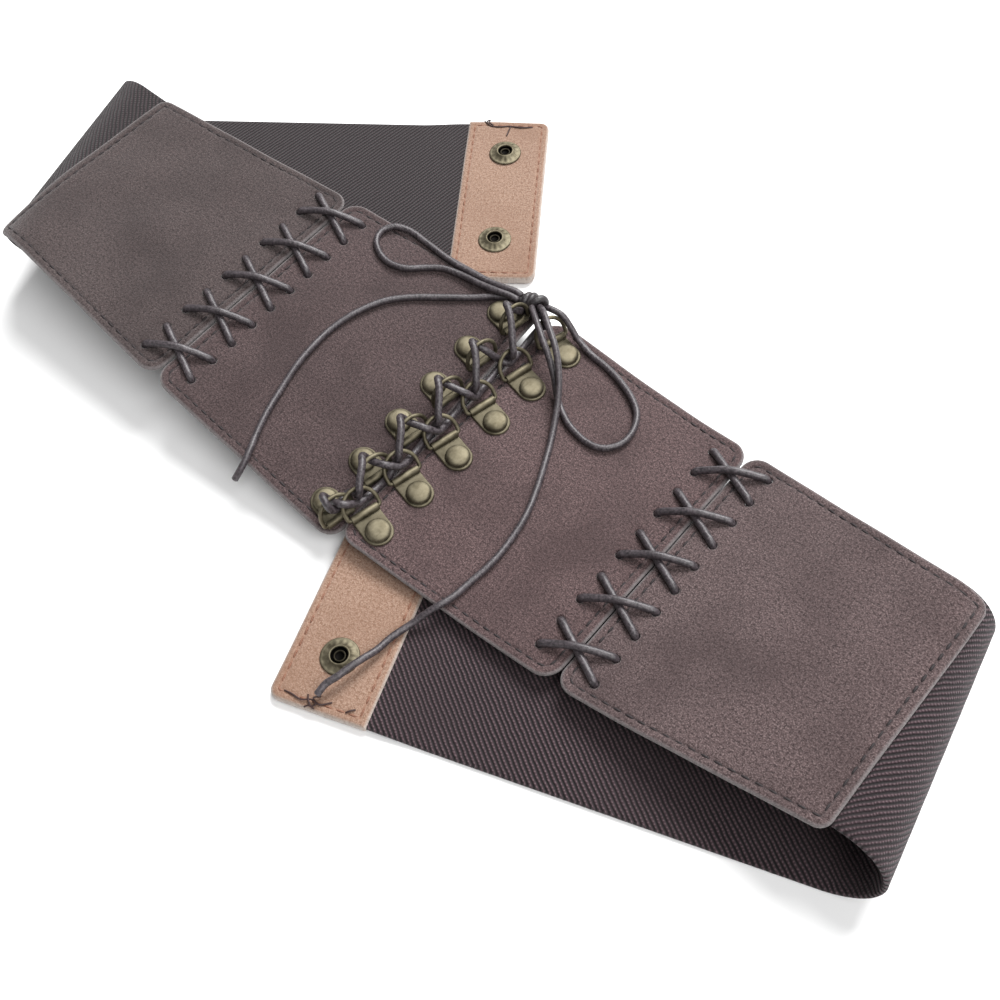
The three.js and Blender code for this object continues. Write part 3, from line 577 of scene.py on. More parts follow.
# Leather: an outline worked out from the pattern, with rounded edges and a sewn groove
class Leather:
    """A flat strip whose height changes along u, with rounded corners at both ends. Its edge
    is puffed on the upper side where puffed is 1, and on the lower side where it is -1."""

    def __init__(self, start, end, heights, radii, centre=0.0, puffed=1):
        self.start = start
        self.end = end
        self.heights = heights
        self.radii = radii
        self.centre = centre
        self.puffed = puffed

    def half_height(self, u):
        share = (u - self.start) / (self.end - self.start)
        return (self.heights[0] * (1 - share) + self.heights[1] * share) / 2

    def inset_of(self, points):
        """How far inside the outline points are, its corners aside."""
        u, v = points.T
        sideways = self.half_height(u) - np.abs(v - self.centre)
        return np.minimum(sideways, np.minimum(u - self.start, self.end - u))

    def loop(self, inset, spacing=0.001):
        """Points of the outline, this far inside the edge, counter-clockwise."""
        lengths = (self.end - self.start, self.heights[1], self.heights[0])
        counts = [round(length / spacing) for length in lengths]
        corner_steps = 8
        sharpest = 0.0004
        start = self.start + inset
        end = self.end - inset
        first, last = (max(radius - inset, sharpest) for radius in self.radii)
        angle = np.linspace(0, np.pi / 2, corner_steps + 1)[1:-1]
        low = np.linspace(start + first, end - last, counts[0])
        corner = end - last * (1 - np.sin(angle))
        reach = self.half_height(end) - inset - last
        sideways = np.linspace(-reach, reach, counts[1])
        near = start + first * (1 - np.sin(angle))
        near_reach = self.half_height(start) - inset - first
        back = np.linspace(near_reach, -near_reach, counts[2])
        u = np.concatenate((low, corner, np.full(len(sideways), end), corner[::-1], low[::-1], near,
                            np.full(len(back), start), near[::-1]))
        top = self.half_height(low) - inset
        end_top = self.half_height(corner) - inset - last * (1 - np.cos(angle))
        start_top = self.half_height(near) - inset - first * (1 - np.cos(angle))
        v = np.concatenate((-top, -end_top, sideways, end_top[::-1], top[::-1], start_top,
                            back, -start_top[::-1]))
        return np.stack((u, v + self.centre), 1)


def wave(u, v):
    """Slight unevenness of leather that has been folded and worn."""
    height = 0.00009
    return height * (np.sin(u * 210 + 1.3 * np.sin(v * 90)) + np.sin(v * 170 + u * 120 + 0.7))


# The edge's own rows of points reach this far in, and beyond it the leather is a grid
edge_reach = 0.0015
grid_step = 0.0022
grid_clearance = 0.6 * grid_step


def leather_piece(name, half, shape, rows, sewn_at, base, face, holes, material, replaces):
    """Leather with its rows on its puffed face, and plain on the other. sewn_at is the inset of
    its stitches, base and face are the n of its lower and upper side, and holes are
    (u, v, radius)."""
    thickness = face - base
    row_insets, row_shares = np.array(rows).T
    row_insets = row_insets * sewn_at
    edge_rows = int(np.searchsorted(row_insets, edge_reach))
    loops = [shape.loop(inset) for inset in row_insets[:edge_rows]]
    count = len(loops[0])
    # each hole's rim: its size as a share of the hole's, and its depth as one of the thickness
    rims = [(1.0, 0.18), (1.2, 0.05), (1.4, 0.0)]
    widest = rims[-1][0]
    clear_of_rim = 0.0003
    far_inside = 1.0
    segments = 20
    angle = full_turn(segments)
    circle = np.stack((np.cos(angle), np.sin(angle)), 1)
    hole_rings = [
        [np.array((u, v)) + circle * radius * size for size, _ in rims] for u, v, radius in holes
    ]
    low = loops[-1].min(0)
    high = loops[-1].max(0)
    grid_u, grid_v = np.meshgrid(
        np.arange(low[0], high[0], grid_step), np.arange(low[1], high[1], grid_step))
    grid = np.stack((grid_u.ravel(), grid_v.ravel()), 1)
    grid = grid[shape.inset_of(grid) > row_insets[-1] + grid_clearance]
    free = [(shape.loop(inset), np.full(count, inset)) for inset in row_insets[edge_rows:]]
    free.append((grid, shape.inset_of(grid)))
    inner = np.vstack([points for points, _ in free])
    inner_insets = np.concatenate([insets for _, insets in free])
    keep = np.ones(len(inner), bool)
    for u, v, radius in holes:
        keep &= np.hypot(inner[:, 0] - u, inner[:, 1] - v) > radius * widest + clear_of_rim
    inner = inner[keep]
    inner_insets = inner_insets[keep]
    rim_points = [rings[-1] for rings in hole_rings]
    flat = [loops[-1], *rim_points, inner]
    insets_flat = [np.full(count, row_insets[edge_rows - 1])]
    insets_flat += [shape.inset_of(points) for points in rim_points]
    insets_flat = np.concatenate((*insets_flat, inner_insets))
    offsets = np.cumsum([0] + [len(part) for part in flat])
    edges = [(i, (i + 1) % count) for i in range(count)]
    for number in range(len(holes)):
        first = int(offsets[1 + number])
        edges += [(first + i, first + (i + 1) % segments) for i in range(segments)]
    flat = np.vstack(flat)
    outline_only = 1
    result = delaunay_2d_cdt(
        [Vector(point) for point in flat], edges, [list(range(count))], outline_only, 1e-7)
    triangles = []
    for face_corners in result[2]:
        middle = np.mean([tuple(result[0][corner]) for corner in face_corners], axis=0)
        if not any(math.dist(middle, (u, v)) < radius * widest for u, v, radius in holes):
            triangles.append(tuple(result[3][corner][0] for corner in face_corners))

    pattern = []
    heights = []
    insets = []
    faces = []

    def put(points, height, inset):
        first = sum(len(part) for part in pattern)
        pattern.append(points)
        heights.append(np.broadcast_to(height, len(points)))
        insets.append(np.broadcast_to(inset, len(points)))
        return first

    middle = (base + face) / 2
    outermost = put(loops[0], middle, 0.0)
    for sign in (1, -1):
        side_shares = row_shares
        if sign != shape.puffed:
            side_shares = np.where(row_insets < edge_reach, np.minimum(row_shares, 1), 1)
        starts = [outermost]
        for loop, inset, share in list(zip(loops[:-1], row_insets, side_shares))[1:]:
            starts.append(put(loop, middle + sign * share * thickness / 2, inset))
        shares = np.interp(insets_flat, row_insets, side_shares)
        sheet = put(flat, middle + sign * shares * thickness / 2, insets_flat)
        starts.append(sheet)
        for first, second in zip(starts, starts[1:]):
            faces += [quad[::sign] for quad in bridge(first, second, count)]
        faces += [tuple(int(sheet + corner) for corner in triangle)[::sign] for triangle in triangles]
        for number, rings in enumerate(hole_rings):
            chain = [
                put(points, middle + sign * (0.5 - depth) * thickness, far_inside)
                for points, (_, depth) in zip(rings[:-1], rims[:-1])
            ]
            chain.append(int(sheet + offsets[1 + number]))
            for first, second in zip(chain, chain[1:]):
                faces += [quad[::-sign] for quad in bridge(first, second, segments)]
            if sign > 0:
                rings.append(chain[0])
            else:
                faces += bridge(rings[-1], chain[0], segments)
    pattern = np.vstack(pattern)
    heights = np.concatenate(heights)
    u, v = pattern.T
    points = half.lay(u, v, heights + wave(u, v))
    if half.side < 0:
        faces = [face_corners[::-1] for face_corners in faces]
    return add_piece(name, points, faces, material, replaces, uv=pattern,
                     values={"inset": np.concatenate(insets)})


stitch = in_mm(inset=3.3, pitch=4.4, length=2.9, radius=0.38)


def stitches(name, half, line, n, upward, material):
    """Sewn stitches along a closed line of the pattern, n above the sheet. upward is 1 for those
    on its upper side and -1 on its lower side."""
    sections = [(-1.0, 0.3), (-0.8, 0.85), (-0.3, 1.0), (0.3, 1.0), (0.8, 0.85), (1.0, 0.3)]
    proud = 0.6 * stitch.radius - 0.0001
    end_dip = 0.0003
    step = 0.0003
    angle = full_turn(6)
    line = np.vstack((line, line[:1]))
    run = run_along(line)
    count = round(run[-1] / stitch.pitch)
    parts = []

    def on_line(at):
        return np.array([np.interp(at, run, line[:, axis]) for axis in (0, 1)])

    for number in range(count):
        centre = (number + 0.5) * run[-1] / count
        rows = []
        for along, size in sections:
            at = centre + along * stitch.length / 2
            u, v = on_line(at)
            du, dv = on_line(at + step) - on_line(at - step)
            length = math.hypot(du, dv)
            lift = n + upward * (proud - end_dip * along ** 2)
            reach = size * stitch.radius
            rows.append(half.lay(
                u - dv / length * reach * np.cos(angle),
                v + du / length * reach * np.cos(angle),
                lift + reach * np.sin(angle)))
        parts.append((np.vstack(rows), stacked(len(sections), len(angle))))
    points, faces = joined(parts)
    return add_piece(name, points, faces, material)


# Rows from the edge inward, as shares of the stitches' inset and of half the thickness:
# rounded edge, puffed turned edge, sewn groove, and the field
leather_rows = [
    (0.0, 0.0), (0.025, 0.35), (0.09, 0.68), (0.21, 0.9), (0.39, 1.03), (0.61, 1.07), (0.79, 1.02),
    (0.91, 0.86), (1.0, 0.74), (1.09, 0.86), (1.24, 1.02), (1.52, 1.05), (1.94, 1.0),
]


def panel_height(u):
    """The leather's height at u, which falls evenly from the lacing to the seam and to the end."""
    if u < panel.row_to_seam:
        share = (u + panel.row_to_lacing_edge) / (panel.row_to_seam + panel.row_to_lacing_edge)
        return panel.height_at_lacing * (1 - share) + panel.height_at_seam * share
    share = (u - panel.row_to_seam) / (panel.row_to_end - panel.row_to_seam)
    return panel.height_at_seam * (1 - share) + panel.height_at_end * share


def seam_hole(cross, column, level):
    """A lace hole's u and v: column says which side of the seam, level which end of the cross."""
    centre = seam.shift + (cross - (seam_crosses - 1) / 2) * seam.pitch
    return panel.row_to_seam + column * seam.hole_to_seam, centre + level * seam.cross_height / 2


def add_panels(name, half, leathers, thread):
    """The half's two leather panels, with their stitches."""
    groove_height = 0.87
    edges = {
        "inner": (-panel.row_to_lacing_edge, panel.row_to_seam - panel.seam_gap / 2, -1),
        "outer": (panel.row_to_seam + panel.seam_gap / 2, panel.row_to_end, 1),
    }
    for which, (start, end, column) in edges.items():
        heights = (panel_height(start), panel_height(end))
        end_radius = panel.corner_radius if which == "inner" else panel.end_radius
        shape = Leather(start, end, heights, (panel.corner_radius, end_radius))
        holes = [
            (*seam_hole(cross, column, level), seam.hole_radius)
            for cross in range(seam_crosses) for level in (-1, 1)
        ]
        node = f"panel_{name}_{which}"
        piece = leather_piece(f"leather_{name}_{which}", half, shape, leather_rows, stitch.inset,
                              0.0, panel.thickness, holes, leathers[name, which], [node])
        sewing = stitches(f"stitches_{name}_{which}", half, shape.loop(stitch.inset),
                          groove_height * panel.thickness, 1, thread)


# Elastic strap
strap_step = 0.0022


def add_strap(name, half, material):
    """The strap from its seam under the leather, round the roll, to its end in the tab."""
    start = panel.row_to_end - band.overlap
    end = half.strap_length + tab.socket_depth
    u = np.linspace(start, end, round((end - start) / strap_step) + 1)
    t = np.clip((u - (half.strap_length - tab.ramp_length)) / tab.ramp_length, 0, 1)
    rise = (tab.skin + gap) * t * t * (3 - 2 * t)
    half_width = band.width / 2
    round_edge = 0.0006
    edge_dip = 0.85
    edge_columns = half_width - np.array((0, 0.3, 1)) * round_edge
    inmost = half_width - 0.002
    columns = np.concatenate((-edge_columns, np.linspace(-inmost, inmost, 38), edge_columns[::-1]))
    from_edge = half_width - np.abs(columns)
    dip = edge_dip * np.clip(1 - from_edge / round_edge, 0, 1) ** 2
    count = len(columns)
    points = []
    uv = []
    middle = -gap - band.thickness / 2
    for sign in (-1, 1):
        n = middle + sign * band.thickness / 2 * (1 - dip)[None, :] - rise[:, None]
        uu, vv = np.meshgrid(u, columns + half.strap_shift, indexing="ij")
        points.append(half.lay(uu.ravel(), vv.ravel(), n.ravel()))
        uv.append(np.stack((uu.ravel(), vv.ravel()), 1))
    faces = []
    second = len(u) * count
    for i in range(len(u) - 1):
        for j in range(count - 1):
            a = i * count + j
            quad = (a, a + count, a + count + 1, a + 1)
            faces.append(tuple(index + second for index in quad))
            faces.append(quad[::-1])
        for j, flip in ((0, False), (count - 1, True)):
            a = i * count + j
            quad = (a, a + count, a + count + second, a + second)
            faces.append(quad[::-1] if flip else quad)
    for i, flip in ((0, True), (len(u) - 1, False)):
        for j in range(count - 1):
            a = i * count + j
            quad = (a, a + 1, a + 1 + second, a + second)
            faces.append(quad[::-1] if flip else quad)
    if half.side < 0:
        faces = [face[::-1] for face in faces]
    strap = add_piece(f"strap_{name}", np.vstack(points), faces, material,
                      [f"elastic_{name}"], uv=np.vstack(uv))


# Tan tab
tab_stitch_inset = 0.003
mend_thread = plain_material("mend_thread", srgb(58, 34, 32), 0.6)
tab_rows = [
    (0.0, 0.0), (0.035, 0.4), (0.13, 0.75), (0.3, 0.95), (0.53, 1.03), (0.8, 1.0), (1.0, 0.88),
    (1.2, 1.0), (1.5, 1.03), (2.0, 1.0),
]


def add_tab(name, half, leather, thread):
    strap_end_radius = 0.0008
    groove_depth = 0.06
    start = half.strap_length
    face = -gap - tab_thickness
    shape = Leather(start, start + tab.length, (tab.width, tab.width),
                    (strap_end_radius, tab.corner_radius), half.strap_shift, puffed=-1)
    piece = leather_piece(f"tab_leather_{name}", half, shape, tab_rows, tab_stitch_inset, face,
                          -gap, [], leather, [f"tab_{name}"])
    sewing = stitches(f"tab_stitches_{name}", half, shape.loop(tab_stitch_inset),
                      face + groove_depth * tab_thickness, -1, thread)
    loose = loose_threads(name, half, face)


# Mended stitches at a tab's corner: which of the tab's ends they are at, then each thread's
# points, along the tab from the strap, inward from its edge and up from its face, in millimetres
tab_mends = {
    "left": (1, [
        [(7, 0.6, 0.1), (8.5, 2.4, 0.5), (10.5, 3.8, 0.4), (14, 4.2, 0.5), (18, 3.7, 0.4),
         (23, 4.4, 0.5), (28, 3.8, 0.1)],
        [(8, 1.0, 0.4), (9.5, 0.6, 0.9), (9.3, 2.2, 1.0), (11, 3.4, 0.5)],
        [(18.6, 3.9, 0.3), (18, 6.5, 0.5), (17.3, 9.3, 0.2)],
    ]),
    "right": (-1, [
        [(30, 3.4, 0.1), (27, 3.0, 0.5), (23.5, 2.2, 0.6), (20, 3.2, 0.9), (17, 2.6, 0.5),
         (13.5, 4.6, 0.2)],
        [(22, 4.6, 0.3), (21, 2.8, 0.9), (19.2, 1.2, 0.8), (18, 2.4, 1.2), (19.6, 3.8, 1.3),
         (17.6, 5.2, 0.6)],
        [(21.5, 0.4, 0.2), (20, 1.2, 0.8), (18.2, 0.7, 0.5)],
        [(8, 3.0, 0.2), (6.8, 3.9, 0.6), (5.4, 4.9, 0.2)],
    ]),
}


def loose_threads(name, half, face):
    """The tab's mended stitches, as threads on its face."""
    end, threads = tab_mends[name]
    thread_radius = 0.0003
    parts = []
    for thread in threads:
        along, inward, up = np.array(thread).T / 1000
        u = half.strap_length + along
        v = half.strap_shift + end * (tab.width / 2 - inward)
        path, _ = smooth_path(half.lay(u, v, face - up), 2 * thread_radius)
        parts.append(tube(path, thread_radius, 8)[:2])
    points, faces = joined(parts)
    return add_piece(f"tab_mend_{name}", points, faces, mend_thread)


# Press snap socket
def snap_mesh():
    """A ribbed flange that rises to a lip, and a spring ring in its recess. The last
    value is each point's painted shade: full in the recess, a little less on the spring ring."""
    sides = 112
    ribs = 14
    rib_height = 0.00009
    spring_shade = 0.8
    flange, rim, lip, recess = snap.flange, snap.rim, snap.lip, snap.recess
    # radius, and height as a share of the snap's
    profile = [
        (0.0, -0.22), (0.97 * flange, -0.22), (flange, 0.06), (0.985 * flange, 0.19),
        (0.94 * flange, 0.28), (0.88 * flange, 0.27), (0.82 * flange, 0.33), (rim, 0.5),
        (0.5 * (rim + lip), 0.67), (lip, 0.92), (0.94 * lip, 1.0), (1.04 * recess, 0.97),
        (recess, 0.85), (recess, 0.5), (recess, 0.06), (0.0, 0.06),
    ]
    points, faces = lathe([(radius, share * snap.height) for radius, share in profile], sides)
    radius = np.hypot(points[:, 0], points[:, 1])
    height = points[:, 2] / snap.height
    angle = np.arctan2(points[:, 1], points[:, 0])
    ribbed = (radius > lip) & (radius < 0.9 * flange) & (height > 0.3)
    points[:, 2] += ribbed * rib_height * np.cos(ribs * angle)
    # Painted shade, full inside the recess
    depth = np.where((radius < 1.01 * recess) & (height < 0.6), 1.0, 0.0)
    around = full_turn(40)
    circle = np.stack((np.cos(around), np.sin(around), np.zeros(len(around))), 1)
    spring = 0.62 * recess * circle + np.array((0, 0, 0.28 * snap.height))
    spring_points, spring_faces, _ = tube(spring, 0.2 * snap.height, 10, closed=True)
    points, faces = joined([(points, faces), (spring_points, spring_faces)])
    return points, faces, np.concatenate((depth, np.full(len(spring_points), spring_shade)))


def add_snaps(name, half, material):
    u = half.strap_length + tab.length / 2
    face = -gap - tab_thickness
    points, faces, depth = snap_mesh()
    for number, end in enumerate((-1, 1), 1):
        seat = half.seat(u, half.strap_shift + end * snap.spacing / 2, face - snap.seat)
        placed = moved(points, seat @ Matrix.Rotation(math.pi, 4, "X"))
        add_piece(f"socket_{name}_{number}", placed, faces, material,
                  [f"snap_{name}_{number}"], values={"depth": depth})


# Hook: rivet cap, plate and rolled tube
def hook_mesh():
    """A plate with its rolled tube and its rivet. The last value is the painted shade of each point.
    """
    half_width = plate.width / 2
    plate_face_shade = 0.35
    rivet_sides = 40
    angle = np.linspace(math.pi / 2, 3 * math.pi / 2, 25)
    outline = [(half_width * math.cos(a), half_width * math.sin(a)) for a in angle]
    reach = plate.length - 0.4 * plate.tube_radius
    straight = np.linspace(0.001, reach, 6)
    outline += [(x, -half_width) for x in straight]
    outline += [(x, half_width) for x in straight[::-1]]
    outline = np.array(outline)
    centre = np.array((reach / 3, 0))
    # the plate's layers: their size, and their height as a share of its thickness
    rows = [(1.0, 0.0), (1.0, 0.25), (0.985, 0.7), (0.96, 0.95), (0.92, 1.0)]
    points = []
    count = len(outline)
    for scale, height in rows:
        ring_xy = centre + (outline - centre) * scale
        points.append(np.column_stack((ring_xy, np.full(count, height * plate.thickness))))
    flange = (np.vstack(points), stacked(len(rows), count))

    # the tube's stations: their place as a share of its half length, and their size
    stations = [(-1.0, 0.93), (-0.97, 1.0), (0.97, 1.0), (1.0, 0.93)]
    sides = 24
    around = full_turn(sides)
    points = []
    faces = []
    for along, size in stations:
        radius = plate.tube_radius * size
        points += [(radius * math.cos(a), along * half_width, radius * math.sin(a)) for a in around]
    for along, size in reversed(stations):
        radius = plate.bore_radius / size
        points += [(radius * math.cos(a), along * half_width, radius * math.sin(a)) for a in around]
    rings = 2 * len(stations)
    for row in range(rings):
        faces += [quad[::-1] for quad in bridge(row * sides, (row + 1) % rings * sides, sides)]
    rolled = (np.array(points) + np.array((plate.length, 0, plate.tube_radius)), faces)

    top = plate.thickness
    under = -gap - panel.thickness - gap
    profile = [
        (0, under - cap.back_thickness), (0.9 * cap.back_radius, under - cap.back_thickness),
        (cap.back_radius, under - 0.7 * cap.back_thickness), (cap.back_radius, under),
        (cap.post_radius, under), (cap.post_radius, 0.5 * top), (0.93 * cap.radius, 0.7 * top),
        (0.99 * cap.radius, top + 0.12 * cap.height), (cap.radius, top + 0.3 * cap.height),
        (0.985 * cap.radius, top + 0.46 * cap.height),
        (0.95 * cap.radius, top + 0.6 * cap.height), (0.89 * cap.radius, top + 0.73 * cap.height),
        (0.78 * cap.radius, top + 0.84 * cap.height), (0.6 * cap.radius, top + 0.91 * cap.height),
        (0.3 * cap.radius, top + 0.96 * cap.height), (0, top + 0.98 * cap.height),
    ]
    points, faces = joined([flange, rolled, lathe(profile, rivet_sides)])
    # Painted shade on the plate's top face, fading to none at the layer below
    depth = np.zeros(len(points))
    depth[(len(rows) - 1) * count:len(rows) * count] = plate_face_shade
    return points, faces, depth


def rivet_place(row):
    """How far across the belt a row's rivet is."""
    return rivets.shift + (row - (rivet_count - 1) / 2) * rivets.pitch


def hook_matrix(half, row):
    pointing = (0 if half.side < 0 else math.pi) - plate_turn
    seat = half.seat(0, rivet_place(row), panel.thickness + gap)
    return seat @ Matrix.Rotation(pointing, 4, "Z")


def ring_matrix(half, row, lean):
    to_tube = Matrix.Translation((plate.length, 0, plate.tube_radius))
    return hook_matrix(half, row) @ to_tube @ Matrix.Rotation(-math.radians(lean), 4, "Y")


ring_half_width = plate.width / 2 + gap + ring.wire_radius


def ring_mesh():
    """A D-ring of round wire, closed inside the tube."""
    corner = ring.corner_radius
    sides = 14
    quarter = np.linspace(0, np.pi / 2, 7)
    bow = np.linspace(0, np.pi / 2, 17)
    low_x = corner * (1 - np.cos(quarter))
    low_y = -(ring_half_width - corner) - corner * np.sin(quarter)
    half_path = [(0, y) for y in np.linspace(0, -plate.width / 2, 5)]
    half_path += list(zip(low_x, low_y))[1:]
    half_path += [(x, -ring_half_width) for x in np.linspace(corner, ring.leg_length, 4)[1:-1]]
    half_path += [
        (ring.leg_length + ring_half_width * math.sin(a), -ring_half_width * math.cos(a)) for a in bow
    ]
    path = [(x, y, 0) for x, y in half_path]
    path += [(x, -y, 0) for x, y in half_path[-2:0:-1]]
    return tube(path, ring.wire_radius, sides, closed=True)[:2]


def add_hardware(name, half, material):
    hook_points, hook_faces, hook_shade = hook_mesh()
    ring_points, ring_faces = ring_mesh()
    for row in range(rivet_count):
        node = f"{name}_{row + 1}"
        add_piece(f"rivet_hook_{node}", moved(hook_points, hook_matrix(half, row)), hook_faces,
                  material, [f"hook_{node}"], values={"depth": hook_shade})
        place = ring_matrix(half, row, ring_lean[name][row])
        add_piece(f"wire_ring_{node}", moved(ring_points, place), ring_faces, material,
                  [f"ring_{node}"])


# Laces that are held all along: the solid's own form, made round
def add_held_lace(name, node, material):
    """A rounder copy of a held lace: its flat-sided tube, subdivided and swelled to full width."""
    nearly_same = 0.00001
    swell_by = 0.00033
    rounds = 2
    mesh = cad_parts[node].data.copy()
    mesh.name = name
    mesh.materials.clear()
    mesh.materials.append(material)
    piece = linked(name, mesh)
    weld = piece.modifiers.new("weld", "WELD")
    weld.merge_threshold = nearly_same
    smooth = piece.modifiers.new("round", "SUBSURF")
    smooth.levels = rounds
    smooth.render_levels = rounds
    swell = piece.modifiers.new("swell", "DISPLACE")
    swell.mid_level = 0.0
    swell.strength = swell_by
    mesh.shade_smooth()
    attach(piece, "root")
    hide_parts(node)


# Bow: knot, loops and free ends
# Where the lacing's two strands leave the knot, as shares of its length, width and height
knot_lace_leads = [(-0.27, -0.6, -0.3), (0.23, -0.51, -0.22)]
# Each wrap's place as a share of the knot's length, its slant, and how much wider it winds
knot_wraps = [(-0.26, 0.45, 1.15), (-0.06, 0.35, 1.2)]
# The bight that bulges out of the knot, as shares of its length, width and height
knot_bight = [
    (-0.06, -0.37, 0.15), (0.06, -0.31, 0.38), (0.2, -0.15, 0.47), (0.35, 0.03, 0.38),
    (0.43, 0.06, 0.13), (0.39, -0.09, -0.12), (0.26, -0.25, -0.18), (0.12, -0.31, -0.12),
]


def knot_centre():
    """The knot sits just beyond the far end of the top left ring's tube."""
    top_tube = ring_matrix(halves["left"], rivet_count - 1, 0).translation
    reach = ring_half_width + ring.wire_radius + 2 * gap + knot.width / 2
    return top_tube + Vector((0, reach, knot.rise))


def add_knot(material):
    """Two wraps and a bight of the lace, round the strands that meet in the bow's middle."""
    centre = knot_centre()
    place = Matrix.Translation(centre) @ Matrix.Rotation(knot_turn, 4, "Z")
    leads = []
    for route in cord_routes.values():
        leads += [np.array(route[0]) + belt_shift, np.array(route[-1]) + belt_shift]
    middle = np.array(centre)
    near = [end for end in leads if np.linalg.norm(end - middle) < knot.length]
    size = np.array((knot.length, knot.width, knot.height))
    near += [middle + np.array(share) * size for share in knot_lace_leads]
    strand_sides = 14
    wound_sides = 16
    spacing = 0.0004
    wrap_radius = 1.15 * lace_radius
    bight_radius = 1.3 * lace_radius
    parts = []
    for end in near:
        path = [end + share * (middle - end) for share in (0.12, 0.4, 0.7, 1.0)]
        parts.append(tube(path, lace_radius, strand_sides)[:2])
    angle = full_turn(36)
    deep = knot.width / 2 - lace_radius
    high = knot.height / 2 - lace_radius
    wound = []
    for shift, slope, swell in knot_wraps:
        x = shift * knot.length + slope * deep * np.cos(angle)
        wrap = np.stack((x, deep * swell * np.cos(angle), high * swell * np.sin(angle)), 1)
        wound.append(tube(wrap, wrap_radius, wound_sides, closed=True)[:2])
    path, _ = smooth_path(np.array(knot_bight) * size, spacing)
    wound.append(tube(path, bight_radius, wound_sides)[:2])
    parts += [(moved(points, place), faces) for points, faces in wound]
    points, faces = joined(parts)
    add_piece("knot_wraps", points, faces, material, ["bow_knot"])


# Routes of the cords, in metres, in the belt's own frame
cord_routes = {
    "bow_loop_left": [
        (-0.0114, 0.0562, 0.0166), (-0.0145, 0.0560, 0.0170), (-0.0185, 0.0550, 0.0170),
        (-0.0250, 0.0540, 0.0165), (-0.0325, 0.0535, 0.0165), (-0.0395, 0.0530, 0.0165),
        (-0.0470, 0.0530, 0.0170), (-0.0575, 0.0535, 0.0180), (-0.0655, 0.0535, 0.0190),
        (-0.0710, 0.0510, 0.0200), (-0.0735, 0.0465, 0.0200), (-0.0720, 0.0415, 0.0200),
        (-0.0665, 0.0375, 0.0195), (-0.0605, 0.0365, 0.0190), (-0.0545, 0.0385, 0.0185),
        (-0.0490, 0.0440, 0.0175), (-0.0440, 0.0480, 0.0170), (-0.0365, 0.0501, 0.0165),
        (-0.0270, 0.0509, 0.0168), (-0.0190, 0.0519, 0.0174), (-0.0145, 0.0529, 0.0174),
        (-0.0110, 0.0534, 0.0170),
    ],
    "lace_end_left": [
        (-0.0116, 0.0543, 0.0142), (-0.0145, 0.0540, 0.0147), (-0.0195, 0.0512, 0.0149),
        (-0.0260, 0.0455, 0.0150), (-0.0355, 0.0375, 0.0160), (-0.0440, 0.0300, 0.0170),
        (-0.0500, 0.0225, 0.0180), (-0.0525, 0.0170, 0.0185), (-0.0550, 0.0090, 0.0190),
        (-0.0565, -0.0005, 0.0190), (-0.0560, -0.0105, 0.0195), (-0.0545, -0.0210, 0.0195),
        (-0.0520, -0.0310, 0.0190), (-0.0485, -0.0425, 0.0190), (-0.0450, -0.0510, 0.0187),
        (-0.0420, -0.0570, 0.0188), (-0.0405, -0.0615, 0.0180), (-0.0405, -0.0670, 0.0145),
    ],
    "bow_loop_right": [
        (-0.0010, 0.0583, 0.0150), (0.0020, 0.0588, 0.0150), (0.0055, 0.0594, 0.0140),
        (0.0095, 0.0590, 0.0110), (0.0140, 0.0578, 0.0080), (0.0215, 0.0560, 0.0065),
        (0.0285, 0.0550, 0.0065), (0.0375, 0.0525, 0.0070), (0.0460, 0.0485, 0.0075),
        (0.0515, 0.0440, 0.0079), (0.0545, 0.0380, 0.0080), (0.0550, 0.0315, 0.0080),
        (0.0525, 0.0265, 0.0080), (0.0490, 0.0240, 0.0080), (0.0435, 0.0235, 0.0077),
        (0.0350, 0.0255, 0.0077), (0.0295, 0.0285, 0.0077), (0.0245, 0.0320, 0.0085),
        (0.0200, 0.0360, 0.0120), (0.0150, 0.0395, 0.0160), (0.0080, 0.0440, 0.0185),
        (0.0005, 0.0495, 0.0188), (-0.0042, 0.0532, 0.0177),
    ],
    "lace_end_right": [
        (-0.0021, 0.0554, 0.0172), (0.0022, 0.0524, 0.0203), (0.0085, 0.0478, 0.0199),
        (0.0145, 0.0435, 0.0190), (0.0190, 0.0395, 0.0170), (0.0230, 0.0350, 0.0140),
        (0.0265, 0.0300, 0.0115), (0.0300, 0.0240, 0.0095), (0.0340, 0.0165, 0.0082),
        (0.0385, 0.0070, 0.0080), (0.0430, -0.0035, 0.0080), (0.0465, -0.0135, 0.0085),
        (0.0485, -0.0255, 0.0085), (0.0490, -0.0350, 0.0090), (0.0480, -0.0440, 0.0090),
        (0.0470, -0.0530, 0.0096), (0.0455, -0.0580, 0.0098), (0.0435, -0.0620, 0.0080),
        (0.0415, -0.0670, 0.0060), (0.0395, -0.0745, 0.0060), (0.0390, -0.0815, 0.0070),
        (0.0380, -0.0870, 0.0085), (0.0370, -0.0915, 0.0090), (0.0360, -0.0965, 0.0090),
        (0.0345, -0.1005, 0.0083), (0.0345, -0.1045, 0.0075),
    ],
}


def add_cords(material):
    """The bow's loops and free ends: the only laces that hang loose."""
    spacing = 0.0015
    sides = 12
    for name, route in cord_routes.items():
        path, length = smooth_path(np.array(route) + belt_shift, spacing)
        points, faces, uv = tube(path, lace_radius, sides)
        piece = add_piece(f"cord_{name}", points, faces, material, [name], uv=uv)


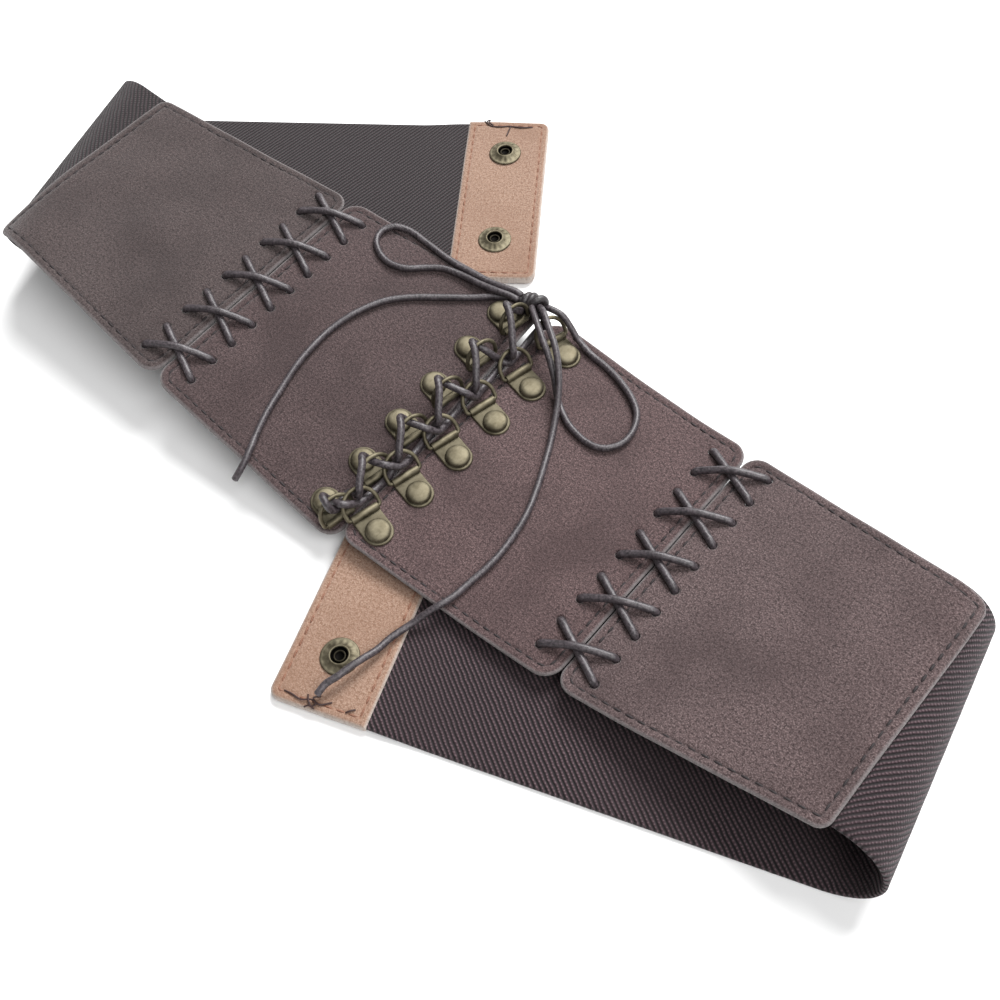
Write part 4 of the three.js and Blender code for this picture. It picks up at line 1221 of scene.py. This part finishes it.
# Floor and light
def add_floor():
    half_size = 6.0
    drop = 0.0002
    pale = (0.93, 0.93, 0.93, 1)
    mesh = bpy.data.meshes.new("floor")
    corners = [(half_size * x, half_size * y, -drop) for x, y in ((-1, -1), (1, -1), (1, 1), (-1, 1))]
    mesh.from_pydata(corners, [], [(0, 1, 2, 3)])
    shader = Shader("floor", roughness=0.9)
    shader.surface.inputs["Base Color"].default_value = pale
    mesh.materials.append(shader.material)
    linked("floor", mesh)


def add_light(name, place, size, power):
    """A round soft light that faces the belt."""
    data = bpy.data.lights.new(name, "AREA")
    data.shape = "DISK"
    data.size = size
    data.energy = power
    light = linked(name, data)
    light.location = place
    light.rotation_euler = (-Vector(place)).to_track_quat("-Z", "Y").to_euler()


def add_studio():
    add_floor()
    world = bpy.data.worlds.new("studio")
    world.use_nodes = True
    world.node_tree.nodes["Background"].inputs["Color"].default_value = (1, 1, 1, 1)
    world.node_tree.nodes["Background"].inputs["Strength"].default_value = 0.26
    bpy.context.scene.world = world
    bpy.context.scene.view_settings.view_transform = "Standard"
    add_light("key", (-0.3, 1.75, 2.2), 1.6, 130)
    add_light("fill", (1.4, -0.2, 1.9), 1.8, 42)


# The belt
add_camera()
lace = lace_material("lace", srgb(28, 22, 26), srgb(88, 80, 84))
# The knot's cord is darker: painted shade among its wraps
knot_lace = lace_material("knot_lace", srgb(14, 11, 13), srgb(50, 44, 47))
add_cords(lace)
add_knot(knot_lace)
brass = metal_material()
# Each panel's tones are scaled by its share of painted light and shade, darkest on the left half
suede = {
    where: suede_material(
        "suede_" + "_".join(where), dark=shaded_tone(shading, 48, 36, 36), middle=shaded_tone(shading, 90, 75, 74),
        pale=shaded_tone(shading, 142, 127, 125), cut_edge=srgb(118, 112, 112), groove=srgb(34, 26, 27),
        groove_inset=stitch.inset)
    for where, shading in panel_shading.items()
}
tan = suede_material(
    "tan_suede", dark=srgb(124, 94, 76), middle=srgb(154, 126, 109), pale=srgb(178, 155, 139),
    cut_edge=srgb(178, 168, 160), groove=srgb(140, 98, 78), groove_inset=tab_stitch_inset)
dark_thread = plain_material("dark_thread", srgb(38, 30, 32), 0.7)
brown_thread = plain_material("brown_thread", srgb(134, 92, 72), 0.7)
# Each strap's elastic is scaled by its share of painted light and shade, darker on the left
elastic = {
    side: elastic_material(f"elastic_{side}", shading) for side, shading in strap_shading.items()
}
for side_name, side_half in halves.items():
    add_panels(side_name, side_half, suede, dark_thread)
    add_strap(side_name, side_half, elastic[side_name])
    add_tab(side_name, side_half, tan, brown_thread)
    add_snaps(side_name, side_half, brass)
    add_hardware(side_name, side_half, brass)
    add_held_lace(f"crossed_lace_{side_name}", f"seam_lace_{side_name}", lace)
add_held_lace("lacing", "ring_lace", lace)
add_studio()
